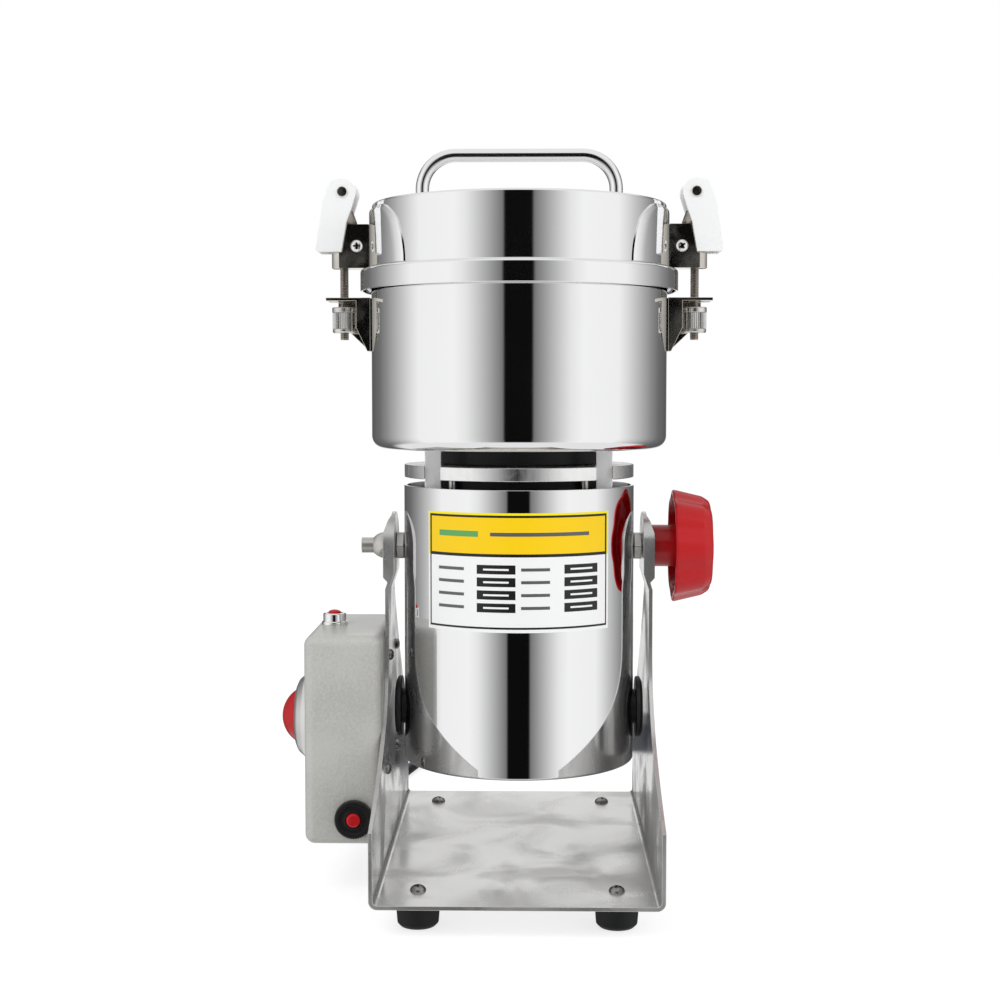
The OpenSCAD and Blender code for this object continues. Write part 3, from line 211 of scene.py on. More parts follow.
def moulded(name, colour, roughness, spread=0.12, bump=0.15, scale=900.0, coat=0.0, shine=0.3):
    """A moulded rubber or plastic: one colour with a fine skin."""
    material, tree = new_material(name)
    skin = add(tree, "ShaderNodeGroup", {"Scale": scale, "Roughness": roughness, "Spread": spread},
               node_tree=moulded_grain)
    relief = add(tree, "ShaderNodeBump", {"Strength": bump, "Distance": 0.0002,
                                          "Height": skin.outputs["Height"]})
    feed(tree.nodes["Principled BSDF"], {
        "Base Color": (*colour, 1), "Coat Weight": coat, "Coat Roughness": 0.06,
        "Specular IOR Level": shine, "Roughness": skin.outputs["Roughness"], "Normal": relief})
    return material


def shape_tree(name, sizes):
    """An empty Geometry Nodes tree with a geometry, named sizes and a finish as its inputs."""
    return new_tree("GeometryNodeTree", name, {"Geometry": "Geometry", **sizes, "Finish": "Material"},
                    "Geometry")


def painted(geometry, size, result):
    """Ends a tree: it gives the geometry in the finish that it was asked for."""
    tree = result.id_data
    paint = add(tree, "GeometryNodeSetMaterial", {"Geometry": geometry, "Material": size["Finish"]})
    feed(result, {0: paint})
    return tree


def run_tree(holder, tree, name, **sizes):
    """The plain mesh that the tree makes from the holder."""
    modifier = holder.modifiers.new(tree.name, "NODES")
    modifier.node_group = tree
    for item in tree.interface.items_tree:
        if item.item_type == "SOCKET" and item.in_out == "INPUT" and item.name in sizes:
            modifier[item.identifier] = sizes[item.name]
    if holder.name not in scene.collection.objects:
        scene.collection.objects.link(holder)
    return settled(holder, name)


def line_through(points, name):
    """A curve of one open line through the points."""
    line = bpy.data.curves.new(name, "CURVE")
    line.dimensions = "3D"
    spline = line.splines.new("POLY")
    spline.points.add(len(points) - 1)
    for spot, point in zip(spline.points, points):
        spot.co = (*point, 1)
    return bpy.data.objects.new(name, line)


def round_tube_tree():
    """Sweeps a round section along a line."""
    tree, size, result = shape_tree("round_tube", {"Radius": CORD_R, "Sides": 16})
    section = add(tree, "GeometryNodeCurvePrimitiveCircle", {"Resolution": size["Sides"],
                                                             "Radius": size["Radius"]})
    sweep = add(tree, "GeometryNodeCurveToMesh", {"Fill Caps": True, "Curve": size["Geometry"],
                                                  "Profile Curve": section})
    smooth = add(tree, "GeometryNodeSetShadeSmooth", {"Geometry": sweep})
    return painted(add(tree, "GeometryNodeRealizeInstances", {0: smooth}), size, result)


round_tube = round_tube_tree()


def dress(piece, body, slot, *nodes):
    """The piece rides on the body and stands for the nodes, which are hidden. The slot is not used."""
    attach(piece, body)
    if nodes:
        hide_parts(*nodes)
    return piece


cord_sheath = moulded("cord_sheath", (0.018, 0.019, 0.024), 0.48, bump=0.08)
run_route = [
    (-85.5, 70, 52), (-85.5, 76, 52), (-85.5, 82, 51.7), (-85.5, 89, 49.8), (-85.6, 96, 45.8),
    (-85.8, 102, 40), (-86, 106.5, 33), (-86.2, 110, 26), (-86.4, 113.8, 19.5),
    (-86.6, 118.5, 13.5), (-86.8, 124.5, 8.2), (-87, 132, 4.9), (-87, 141, 3.5),
    (-86.5, 152, 3.3), (-85, 166, 3.3), (-82.5, 182, 3.3), (-79, 200, 3.3), (-75, 218, 3.3),
    (-71.2, 235, 3.3), (-68.4, 250, 3.3), (-67, 261.5, 3.3),
]
COIL_X, COIL_Y, COIL_R, COIL_TURNS, COIL_PITCH = -24.5, 268, 42.5, 5.25, 7.0


def coil_spot(turn):
    half = COIL_TURNS / 2
    layer = min(1, max(0, (turn - half + 0.25) / 0.5))
    reach = COIL_R - COIL_PITCH * (half - abs(turn - half))
    a = math.radians(180 - 360 * turn)
    return (COIL_X + reach * math.cos(a), COIL_Y + reach * math.sin(a), 3.3 + COIL_PITCH * layer)


coil_route = [coil_spot(i / 24) for i in range(int(24 * COIL_TURNS) + 1)]
route = run_route + coil_route + [(COIL_X + 10, COIL_Y + COIL_R, 3.3 + COIL_PITCH)]
route = [Vector(p) * MM + Vector((AXIS_X, 0, 0)) for p in route]
cord = run_tree(line_through(route, "mains_cord_line"), round_tube, "mains_cord",
                Radius=CORD_R, Sides=16, Finish=cord_sheath)
dress(cord, "base", "cord_sheath", "cord_run", "cord_coil")

# The cord's gland: a soft ribbed sleeve in the box's back wall that keeps the lead from
# being bent sharply. The ribs are one moulding with it.


def tinted(node, material):
    """A CAD node that keeps its shape takes this finish."""
    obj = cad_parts[node]
    obj.data.materials.clear()
    obj.data.materials.append(material)
    return obj


soft_black = moulded("soft_black_rubber", (0.012, 0.012, 0.013), 0.6, bump=0.2, shine=0.25)
tinted("cord_gland", soft_black)

# The plug: a three-pin moulding of blue-black plastic with a ribbed strain relief, lying on
# its back. Its pins are nickel-plated brass, and the two line pins are half sleeved.


def sharpen(mesh, degrees=35):
    """Shades the mesh smooth, with a crease where faces meet at more than this angle."""
    b = bmesh.new()
    b.from_mesh(mesh)
    for f in b.faces:
        f.smooth = True
    for e in b.edges:
        e.smooth = len(e.link_faces) == 2 and e.calc_face_angle(0) < math.radians(degrees)
    b.to_mesh(mesh)
    b.free()


def piece_of(b, name, crease, *materials):
    """A piece of the bmesh's shape, with its edges creased where they turn more than this."""
    mesh = bpy.data.meshes.new(name)
    b.to_mesh(mesh)
    b.free()
    if crease:
        sharpen(mesh, crease)
    for material in materials:
        mesh.materials.append(material)
    return placed(name, mesh)


def softened(node, width, name, material, steps=3, angle=32):
    """A CAD node's shape with its sharp edges rounded to the width."""
    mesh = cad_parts[node].data.copy()
    b = bmesh.new()
    b.from_mesh(mesh)
    bmesh.ops.remove_doubles(b, verts=b.verts, dist=2e-6)
    bmesh.ops.dissolve_limit(b, angle_limit=math.radians(0.6), verts=b.verts, edges=b.edges)
    b.to_mesh(mesh)
    b.free()
    mesh.materials.clear()
    mesh.materials.append(material)
    if mesh.has_custom_normals:
        mesh.normals_split_custom_set_from_vertices([(0, 0, 0)] * len(mesh.vertices))
    sharpen(mesh, 50)
    holder = placed(name + "_holder", mesh)
    edge = holder.modifiers.new("edge", "BEVEL")
    edge.width = width
    edge.segments = steps
    edge.limit_method = "ANGLE"
    edge.angle_limit = math.radians(angle)
    holder.modifiers.new("weight", "WEIGHTED_NORMAL").keep_sharp = True
    return settled(holder, name)


def dress_softened(node, width, name, material, body, slot, steps=2):
    """Dresses a CAD node in its own shape with rounded edges, their width in millimetres."""
    dress(softened(node, width * MM, name, material, steps), body, slot, node)


plug_plastic = moulded("plug_plastic", (0.022, 0.026, 0.040), 0.42, bump=0.3, scale=1500)
nickel = moulded("nickel_plate", (0.62, 0.60, 0.55), 0.22, spread=0.1, bump=0.03)
nickel.node_tree.nodes["Principled BSDF"].inputs["Metallic"].default_value = 1
plug_shell = softened("plug_body", 1.6 * MM, "plug_shell", plug_plastic, steps=4, angle=40)
dress(plug_shell, "base", "black_plastic", "plug_body")
tinted("plug_pins", nickel)


def ribs_tree():
    """Rings across a line, as on a strain relief: each rib is a short, fat ring."""
    tree, size, result = shape_tree("relief_ribs", {
        "Count": 6, "First Radius": 5.2 * MM, "Last Radius": 8.0 * MM, "Rib Width": 2.4 * MM})
    spots = add(tree, "GeometryNodeCurveToPoints", {"Curve": size["Geometry"], "Count": size["Count"]})
    rib = add(tree, "GeometryNodeMeshCylinder", {"Vertices": 32, "Radius": 1, "Depth": size["Rib Width"]})
    share = calc(tree, "DIVIDE", add(tree, "GeometryNodeInputIndex"), size["Count"])
    radius = add(tree, "ShaderNodeMapRange", {"Value": share, "To Min": size["First Radius"],
                                              "To Max": size["Last Radius"]})
    place = add(tree, "GeometryNodeInstanceOnPoints", {
        "Points": spots, "Instance": rib, "Rotation": spots.outputs["Rotation"],
        "Scale": xyz(tree, radius, radius, 1)})
    return painted(add(tree, "GeometryNodeRealizeInstances", {0: place}), size, result)


relief_line = [Vector((COIL_X + x, COIL_Y + COIL_R, 10.3)) * MM + Vector((AXIS_X, 0, 0))
               for x in (12, 35)]
relief_ribs = run_tree(line_through(relief_line, "relief_line"), ribs_tree(), "plug_relief_ribs",
                       Count=6, Finish=plug_plastic)
sharpen(relief_ribs.data)
dress(relief_ribs, "base", "black_plastic")

# Bracket: one stainless sheet, 2 mm thick, laser cut, bent up at both sides and brushed.
# Its face carries fine scratches along the bend, a few smudges and scuffs.


def brushed_wear_group():
    """Scratches that run one way, and the smudges of handling over them."""
    tree, size, result = new_tree("ShaderNodeTree", "brushed_wear", {
        "Stretch": (1500, 40, 1500), "Roughness": 0.3, "Spread": 0.25, "Smudge": 0.2, "Smudge Scale": 16.0},
        "Roughness", "Height", "Smudge")
    where = add(tree, "ShaderNodeTexCoord").outputs["Object"]
    stretched = add(tree, "ShaderNodeVectorMath", {0: where, 1: size["Stretch"]}, operation="MULTIPLY")
    lines = add(tree, "ShaderNodeTexNoise", {"Scale": 1, "Detail": 3, "Vector": stretched})
    smudges = add(tree, "ShaderNodeTexNoise", {"Detail": 6, "Distortion": 0.8, "Vector": where,
                                               "Scale": size["Smudge Scale"]})
    patch = add(tree, "ShaderNodeMapRange", {"From Min": 0.42, "From Max": 0.72, "Value": smudges})
    smudge = calc(tree, "MULTIPLY", patch, size["Smudge"])
    centred = calc(tree, "SUBTRACT", lines, 0.5)
    rough = calc(tree, "MULTIPLY_ADD", centred, size["Spread"], size["Roughness"])
    feed(result, {"Roughness": calc(tree, "ADD", rough, smudge, use_clamp=True), "Height": lines,
                  "Smudge": smudge})
    return tree


brushed_wear = brushed_wear_group()


def metal(name, colour, roughness, spread=0.1, smudge=0.05, stretch=(1500, 40, 1500), bump=0.1,
          smudge_scale=16.0, dull=None, bare=1.0):
    """A bare metal with scratches one way and smudges. Smudged places lean to the dull colour."""
    material, tree = new_material(name)
    wear = add(tree, "ShaderNodeGroup", {"Stretch": stretch, "Roughness": roughness, "Spread": spread,
                                         "Smudge": smudge, "Smudge Scale": smudge_scale},
               node_tree=brushed_wear)
    tone = mixed(tree, wear.outputs["Smudge"], (*colour, 1), (*(dull or [c * 0.8 for c in colour]), 1))
    relief = add(tree, "ShaderNodeBump", {"Strength": bump, "Distance": 0.0001,
                                          "Height": wear.outputs["Height"]})
    feed(tree.nodes["Principled BSDF"], {
        "Metallic": bare, "Base Color": tone, "Roughness": wear.outputs["Roughness"], "Normal": relief})
    return material


bracket_steel = metal("bracket_steel", (0.65, 0.645, 0.635), 0.17, spread=0.06, smudge=0.34,
                      stretch=(900, 25, 900), bump=0.035, smudge_scale=20, dull=(0.40, 0.395, 0.385),
                      bare=0.8)
dress_softened("base_bracket", 0.35, "bracket", bracket_steel, "base", "bracket_steel")

# Feet: four moulded rubber cones, each held by a cross-head screw that comes down through
# the bracket's floor.


def fillet(points, radii, steps=5, closed=False):
    """The outline with its corners rounded, each to its own radius."""
    out = []
    for i, (point, radius) in enumerate(zip(points, radii)):
        if radius == 0 or (not closed and i in (0, len(points) - 1)):
            out.append(tuple(point))
            continue
        before, here = Vector(points[i - 1]), Vector(point)
        after = Vector(points[(i + 1) % len(points)])
        u, v = (before - here).normalized(), (after - here).normalized()
        half = math.acos(max(-1, min(1, u.dot(v)))) / 2
        cut = min(radius / math.tan(half), 0.49 * (before - here).length, 0.49 * (after - here).length)
        true = cut * math.tan(half)
        centre = here + (u + v).normalized() * (true / math.sin(half))
        a, b = here + u * cut - centre, here + v * cut - centre
        start = math.atan2(a.y, a.x)
        turn = (math.atan2(b.y, b.x) - start + math.pi) % (2 * math.pi) - math.pi
        for k in range(steps + 1):
            t = start + turn * k / steps
            out.append((centre.x + true * math.cos(t), centre.y + true * math.sin(t)))
    return out


def steadied(outline, closed):
    """The outline with a point close to each end of its long straights, which keeps them flat."""
    out = []
    for a, b in zip(outline, outline[1:] + outline[:1]):
        out.append(a)
        a, b = Vector(a), Vector(b)
        if (b - a).length > 5 and (closed or len(out) < 2 or b != Vector(outline[0])):
            step = (b - a).normalized() * 0.4
            out += [tuple(a + step), tuple(b - step)]
    return out if closed else out[:out.index(outline[-1]) + 1]


def lathe(name, outline, material, place=(0, 0, 0), axis="Z", turns=128, closed=False, crease=35):
    """Turns an outline of (radius, height) in millimetres about an axis through the place."""
    frames = {"Z": Matrix.Identity(3), "X": Matrix(((0, 0, 1), (1, 0, 0), (0, 1, 0))),
              "-X": Matrix(((0, 0, -1), (-1, 0, 0), (0, 1, 0))),
              "-Y": Matrix(((1, 0, 0), (0, 0, -1), (0, 1, 0))),
              "Y": Matrix(((1, 0, 0), (0, 0, 1), (0, -1, 0)))}
    b = bmesh.new()
    rings = []
    for radius, height in steadied([tuple(p) for p in outline], closed):
        if radius < 1e-6:
            rings.append([b.verts.new((0, 0, height))])
        else:
            rings.append([b.verts.new((radius * math.cos(2 * math.pi * k / turns),
                                       radius * math.sin(2 * math.pi * k / turns), height))
                          for k in range(turns)])
    pairs = list(zip(rings, rings[1:])) + ([(rings[-1], rings[0])] if closed else [])
    for low, high in pairs:
        for k in range(turns):
            m = (k + 1) % turns
            corners = [low[k % len(low)], low[m % len(low)], high[m % len(high)], high[k % len(high)]]
            corners = [c for i, c in enumerate(corners) if c not in corners[:i]]
            if len(corners) > 2:
                b.faces.new(corners)
    bmesh.ops.recalc_face_normals(b, faces=b.faces)
    b.transform(Matrix.Translation(Vector(place) * MM) @ frames[axis].to_4x4() @ Matrix.Scale(MM, 4))
    return piece_of(b, name, crease, material)


def joined(name, pieces):
    """Several pieces of one body made one."""
    b = bmesh.new()
    slots = []
    for piece in pieces:
        start = len(slots)
        slots += list(piece.data.materials)
        have = len(b.faces)
        b.from_mesh(piece.data)
        b.faces.ensure_lookup_table()
        for f in b.faces[have:]:
            f.material_index += start
        bpy.data.objects.remove(piece)
    return piece_of(b, name, None, *slots)


AX = AXIS_X / MM
foot_spots = [(AX + x, y) for x in (-46.5, 46.5) for y in (-85, 85)]
foot_outline = fillet([(0, 0), (8.1, 0), (9.7, 1.6), (10.7, 14.5), (0, 14.5)], [0, 0.8, 1.2, 0.9, 0], 4)
feet = joined("feet", [lathe("foot", foot_outline, soft_black, (x, y, 0), turns=64) for x, y in foot_spots])
dress(feet, "base", "rubber_black", "rubber_feet")


def cross_screws_tree():
    """Pan-head screws with a cross recess, one at each point, with the head along Z."""
    tree, size, result = shape_tree("cross_head_screws", {
        "Head Radius": 3.8 * MM, "Head Height": 2.6 * MM, "Turn": 0.6})
    radius, height = size["Head Radius"], size["Head Height"]

    def block(x, y, z):
        sides = [calc(tree, "MULTIPLY", *side) for side in ((radius, x), (radius, y), (height, z))]
        return add(tree, "GeometryNodeMeshCube", {"Size": xyz(tree, *sides)})

    def moved(shape, **how):
        return add(tree, "GeometryNodeTransform", {"Geometry": shape, **how})

    ball = add(tree, "GeometryNodeMeshUVSphere", {"Segments": 40, "Rings": 20, "Radius": 1})
    below = moved(block(3, 3, 2), Translation=xyz(tree, 0, 0, calc(tree, "MULTIPLY", height, -1)))
    slot = moved(block(1.15, 0.26, 1.3), Translation=xyz(tree, 0, 0, calc(tree, "MULTIPLY", height, 1.1)))
    dome = moved(ball, Scale=xyz(tree, radius, radius, height))
    cut = add(tree, "GeometryNodeMeshBoolean", {"Mesh 1": dome}, operation="DIFFERENCE")
    for cutter in (below, slot, moved(slot, Rotation=(0, 0, math.pi / 2))):
        feed(cut, {"Mesh 2": cutter})
    turn = calc(tree, "MULTIPLY", add(tree, "GeometryNodeInputIndex"), size["Turn"])
    place = add(tree, "GeometryNodeInstanceOnPoints", {
        "Points": size["Geometry"], "Instance": cut, "Rotation": xyz(tree, 0, 0, turn)})
    return painted(add(tree, "GeometryNodeRealizeInstances", {0: place}), size, result)


cross_screws = cross_screws_tree()


def scattered(name, places, towards, tree, crease, **sizes):
    """What the tree puts at the places, in millimetres, with its Z turned one way."""
    turn = Vector((0, 0, 1)).rotation_difference(Vector(towards)).to_matrix().to_4x4()
    back = turn.inverted()
    points = bpy.data.meshes.new(name + "_places")
    points.from_pydata([back @ (Vector(p) * MM) for p in places], [], [])
    piece = run_tree(bpy.data.objects.new(name + "_holder", points), tree, name, **sizes)
    piece.data.transform(turn)
    sharpen(piece.data, crease)
    return piece


def screws(name, places, towards, radius, height, material):
    """Screw heads at the places, all facing one way."""
    return scattered(name, places, towards, cross_screws, 30, **{
        "Head Radius": radius * MM, "Head Height": height * MM, "Finish": material})


zinc, dark_zinc = [metal(name, colour, rough, smudge=0.2, stretch=(300, 300, 300), smudge_scale=120)
                   for name, colour, rough in (("zinc_plate", (0.60, 0.59, 0.56), 0.28),
                                               ("dark_zinc", (0.30, 0.29, 0.28), 0.25))]
foot_heads = screws("foot_screw_heads", [(x, y, 16.5) for x, y in foot_spots], (0, 0, 1), 3.8, 2.6,
                    dark_zinc)
dress(foot_heads, "base", "hardware_steel", "foot_screws")

# Control box: a die-cast shell in light grey textured enamel, open towards the side plate
# and held to it by four screws from inside the bracket.
BOX_IN, BOX_OUT, BOX_W, BOX_LOW, BOX_TOP = -67.5, -105.5, 88, 26, 130


def enamel(name, colour, dark):
    """Textured enamel on a casting: fine orange peel, and grime where it has been handled."""
    material = moulded(name, colour, 0.34, spread=0.2, bump=0.3, scale=900, shine=0.5)
    tree = material.node_tree
    where = add(tree, "ShaderNodeTexCoord").outputs["Object"]
    speck, cloud = [add(tree, "ShaderNodeTexNoise", {"Scale": scale, "Detail": detail, "Vector": where})
                    for scale, detail in ((800, 6), (26, 4))]
    share = add(tree, "ShaderNodeMapRange", {"From Min": 0.16, "From Max": 0.36,
                                             "Value": calc(tree, "MULTIPLY", speck, cloud)})
    feed(tree.nodes["Principled BSDF"], {"Base Color": mixed(tree, share, (*colour, 1), (*dark, 1))})
    return material


box_enamel = enamel("box_enamel", (0.50, 0.495, 0.465), (0.42, 0.415, 0.39))


def casting(name, low, high, radius, open_side_x, material):
    """A cast box with round edges, square where it meets the side plate."""
    b = bmesh.new()
    bmesh.ops.create_cube(b, size=1)
    for v in b.verts:
        for i in range(3):
            v.co[i] = (low[i] if v.co[i] < 0 else high[i]) * MM
    edges = [e for e in b.edges
             if not all(abs(v.co.x - open_side_x * MM) < 1e-9 for v in e.verts)]
    bmesh.ops.bevel(b, geom=edges, offset=radius * MM, segments=8, profile=0.5, affect="EDGES",
                    clamp_overlap=True)
    holder = piece_of(b, name, 40, material)
    holder.name = name + "_holder"
    holder.modifiers.new("weight", "WEIGHTED_NORMAL").keep_sharp = True
    return settled(holder, name)


box_shell = casting("control_box_shell", (AX + BOX_OUT, -BOX_W / 2, BOX_LOW),
                    (AX + BOX_IN, BOX_W / 2, BOX_TOP), 5, AX + BOX_IN, box_enamel)
dress(box_shell, "base", "box_paint", "control_box")
box_screw_spots = ((-11, 116), (26, 116), (-28, 61), (28, 61))
box_heads = screws("box_screw_heads", [(AX - 65.5, y, z) for y, z in box_screw_spots], (1, 0, 0), 2.9, 2.0,
                   dark_zinc)
dress(box_heads, "base", "hardware_steel", "box_screws")

# Power button: a clear-coated red dome that is pushed in, in a domed ring of satin steel.
chrome = metal("bright_chrome", (0.86, 0.86, 0.85), 0.06, spread=0.05, smudge=0.06,
               stretch=(120, 120, 120), bump=0.02, smudge_scale=60)
satin_ring = metal("satin_ring", (0.74, 0.735, 0.72), 0.3, spread=0.12, smudge=0.1,
                   stretch=(60, 900, 900), bump=0.08, smudge_scale=40)
red_gloss = moulded("red_gloss", (0.47, 0.003, 0.006), 0.26, spread=0.08, bump=0.03, scale=260,
                    coat=0.12)
POWER = (AX + BOX_OUT, 0, BOX_LOW + 0.544 * 104)
bezel = lathe("power_ring", fillet([(14.1, 0), (22.8, 0), (22.8, 1.4), (21.4, 4.5), (18.6, 7.7),
                                    (15.5, 9.0), (14.1, 9.0)], [0, 0, 0.6, 4, 4, 1.5, 0.4], 5),
              satin_ring, POWER, "-X", closed=True)
dress(bezel, "base", "lever_chrome", "power_bezel")
# The dome is a cap of a ball: its radius, its height and the ball's radius
CAP_R, CAP_H = 13.6, 7.8
ball_r = (CAP_R ** 2 + CAP_H ** 2) / (2 * CAP_H)
dome_line = [(ball_r * math.sin(t), 9.0 + CAP_H - ball_r + ball_r * math.cos(t))
             for t in [math.asin(CAP_R / ball_r) * k / 18 for k in range(19)]]
button = lathe("power_dome", dome_line + [(CAP_R, 5.0), (4, 5.0), (4, -7), (0, -7)], red_gloss, POWER,
               "-X", 96)
dress(button, "power_button", "red_gloss", "power_button")
works_black = moulded("works_black", (0.03, 0.03, 0.032), 0.45)
tinted("power_switch", works_black)
tinted("overload_breaker", works_black)

# Overload reset: a small red push button in a finely knurled black nut, low on the box's
# front, with the breaker screwed in behind the wall.


def knurl_tree():
    """Ridges round a cylinder along Z, evenly spaced, each a slim six-sided bar."""
    tree, size, result = shape_tree("knurl", {"Radius": 8.5 * MM, "Height": 4 * MM, "Ridges": 40,
                                              "Ridge Radius": 0.45 * MM})
    circle = add(tree, "GeometryNodeMeshCircle", {"Vertices": size["Ridges"], "Radius": size["Radius"]})
    bar = add(tree, "GeometryNodeMeshCylinder", {"Vertices": 6, "Radius": size["Ridge Radius"],
                                                 "Depth": size["Height"]})
    share = calc(tree, "DIVIDE", add(tree, "GeometryNodeInputIndex"), size["Ridges"])
    turn = xyz(tree, z=calc(tree, "MULTIPLY", share, 2 * math.pi))
    band = add(tree, "GeometryNodeInstanceOnPoints", {"Points": circle, "Instance": bar, "Rotation": turn})
    centred = add(tree, "GeometryNodeInstanceOnPoints", {"Points": size["Geometry"], "Instance": band})
    return painted(add(tree, "GeometryNodeRealizeInstances", {0: centred}), size, result)


knurl = knurl_tree()


def ridges(name, place, axis, radius, height, count, ridge, material):
    """A band of knurling, centred on the place."""
    return scattered(name, [place], axis, knurl, 50, **{
        "Radius": radius * MM, "Height": height * MM, "Ridges": count, "Ridge Radius": ridge * MM,
        "Finish": material})


RESET = (AX - 80.8, -BOX_W / 2, BOX_LOW + 13.6)
nut_black = moulded("nut_black", (0.012, 0.012, 0.013), 0.3, bump=0.1)
collar = joined("reset_nut", [
    lathe("reset_ring", fillet(
        [(3.9, 0), (9.2, 0), (9.2, 4), (7.2, 4), (6.4, 3.1), (4.6, 3.1), (4.6, 4), (3.9, 4)],
        [0, 0, 0.5, 0.3, 0.2, 0.2, 0.2, 0.2], 3), nut_black, RESET, "-Y", 96, closed=True),
    ridges("reset_ridges", (RESET[0], RESET[1] - 1.8, RESET[2]), (0, -1, 0), 9.15, 3.2, 48, 0.42,
           nut_black)])
dress(collar, "base", "black_plastic", "reset_collar")
reset = lathe("reset_push", fillet([(0, -5.4), (3.6, -5.4), (3.6, 5.4), (0, 5.4)], [0, 0, 1.5, 0], 6),
              red_gloss, RESET, "-Y", 64)
dress(reset, "reset_button", "red_gloss", "reset_button")

# Pilot lamp: a red lens in a chromed screw collar on top of the box.
LAMP = (AX + BOX_OUT + 10.5, 0, BOX_TOP)
lamp_ring = lathe("lamp_ring", fillet(
    [(3.35, 0), (6.6, 0), (6.6, 1.5), (5.9, 1.8), (5.9, 6), (4.2, 6), (3.35, 5.2)],
    [0, 0, 0.4, 0.2, 0.8, 0.3, 0], 4), chrome, LAMP, "Z", 96, closed=True)
dress(lamp_ring, "base", "lever_chrome", "lamp_bezel")
lamp_lens = lathe("lamp_glass", [(0, 7.6)] + [(3.3 * math.sin(t), 6 + 1.6 * math.cos(t))
                                             for t in [math.pi / 2 * k / 10 for k in range(1, 11)]]
                  + [(3.3, -2), (0, -2)], red_gloss, LAMP, "Z", 64)
dress(lamp_lens, "base", "red_gloss", "lamp_lens")

# Motor housing: a deep-drawn can of polished stainless steel, closed below but for a ring of
# cooling holes, hanging on two pivot bolts. Its wall is 1.5 mm.
polished = metal("polished_steel", (0.88, 0.88, 0.885), 0.035, spread=0.02, smudge=0.03,
                 stretch=(30, 30, 1400), bump=0.006, smudge_scale=14)
HOUSE_LOW, HOUSE_TOP, HOUSE_R = 62, 202.5, 58.75
can = lathe("housing_can", fillet([(0, HOUSE_LOW), (HOUSE_R, HOUSE_LOW), (HOUSE_R, HOUSE_TOP),
                                   (HOUSE_R - 1.5, HOUSE_TOP), (HOUSE_R - 1.5, HOUSE_LOW + 1.5),
                                   (0, HOUSE_LOW + 1.5)],
                                  [0, 1.2, 0.4, 0.4, 0.6, 0], 5), polished, (AX, 0, 0), "Z", 192)


def drilled(piece, name, cutters):
    """The piece with the cutters taken out of it."""
    for cutter in cutters:
        cut = piece.modifiers.new("hole", "BOOLEAN")
        cut.operation = "DIFFERENCE"
        cut.object = cutter
        cut.solver = "EXACT"
    material = piece.data.materials[0]
    done = settled(piece, name)
    for cutter in cutters:
        bpy.data.objects.remove(cutter)
    mesh = done.data
    mesh.materials.clear()
    mesh.materials.append(material)
    for f in mesh.polygons:
        f.material_index = 0
    sharpen(mesh)
    return done


vents = joined("vent_cutters", [
    lathe("vent", [(0, -1), (3, -1), (3, 3), (0, 3)], polished,
          (AX + 34.35 * math.cos(a), 34.35 * math.sin(a), HOUSE_LOW), "Z", 24)
    for a in [2 * math.pi * (k + 0.5) / 12 for k in range(12)]])
housing = drilled(can, "housing", [vents])
dress(housing, "head", "polished_steel", "motor_housing")

# Rating label: printed film round the front of the housing, a yellow band over a white field
# with rows of plain bars. It carries no words.
LABEL_LOW, LABEL_H, LABEL_R = 134, 57.5, HOUSE_R + 0.35
LABEL_W = 2 * math.radians(48) * HOUSE_R


def wrapped_bars_tree():
    """A flat bar at each point of the label's plan, then the plan bent round the housing."""
    tree, size, result = shape_tree("wrapped_print", {
        "Bar Width": 10 * MM, "Bar Height": 3 * MM, "Radius": LABEL_R * MM, "Axis X": AXIS_X, "Steps": 8})
    bar = add(tree, "GeometryNodeMeshGrid", {"Size X": size["Bar Width"], "Size Y": size["Bar Height"],
                                             "Vertices X": size["Steps"], "Vertices Y": 2})
    place = add(tree, "GeometryNodeInstanceOnPoints", {"Points": size["Geometry"], "Instance": bar})
    real = add(tree, "GeometryNodeRealizeInstances", {0: place})
    at = parts(tree, add(tree, "GeometryNodeInputPosition"))
    bend = calc(tree, "DIVIDE", at["X"], size["Radius"])
    reach = calc(tree, "ADD", size["Radius"], at["Z"])
    x = calc(tree, "ADD", calc(tree, "MULTIPLY", calc(tree, "SINE", bend), reach), size["Axis X"])
    y = calc(tree, "MULTIPLY", calc(tree, "MULTIPLY", calc(tree, "COSINE", bend), reach), -1)
    move = add(tree, "GeometryNodeSetPosition", {"Geometry": real, "Position": xyz(tree, x, y, at["Y"])})
    return painted(add(tree, "GeometryNodeSetShadeSmooth", {"Geometry": move}), size, result)


wrapped_print = wrapped_bars_tree()


def printed(name, places, width, height, layer, material):
    """Bars of one size on the label; places are (across, up) of their middles in millimetres."""
    points = bpy.data.meshes.new(name + "_places")
    points.from_pydata([(u * MM, (LABEL_LOW + v) * MM, layer * 0.03 * MM) for u, v in places], [], [])
    return run_tree(bpy.data.objects.new(name + "_holder", points), wrapped_print, name,
                    **{"Bar Width": width * MM, "Bar Height": height * MM,
                       "Steps": max(3, int(width / 2)), "Finish": material})


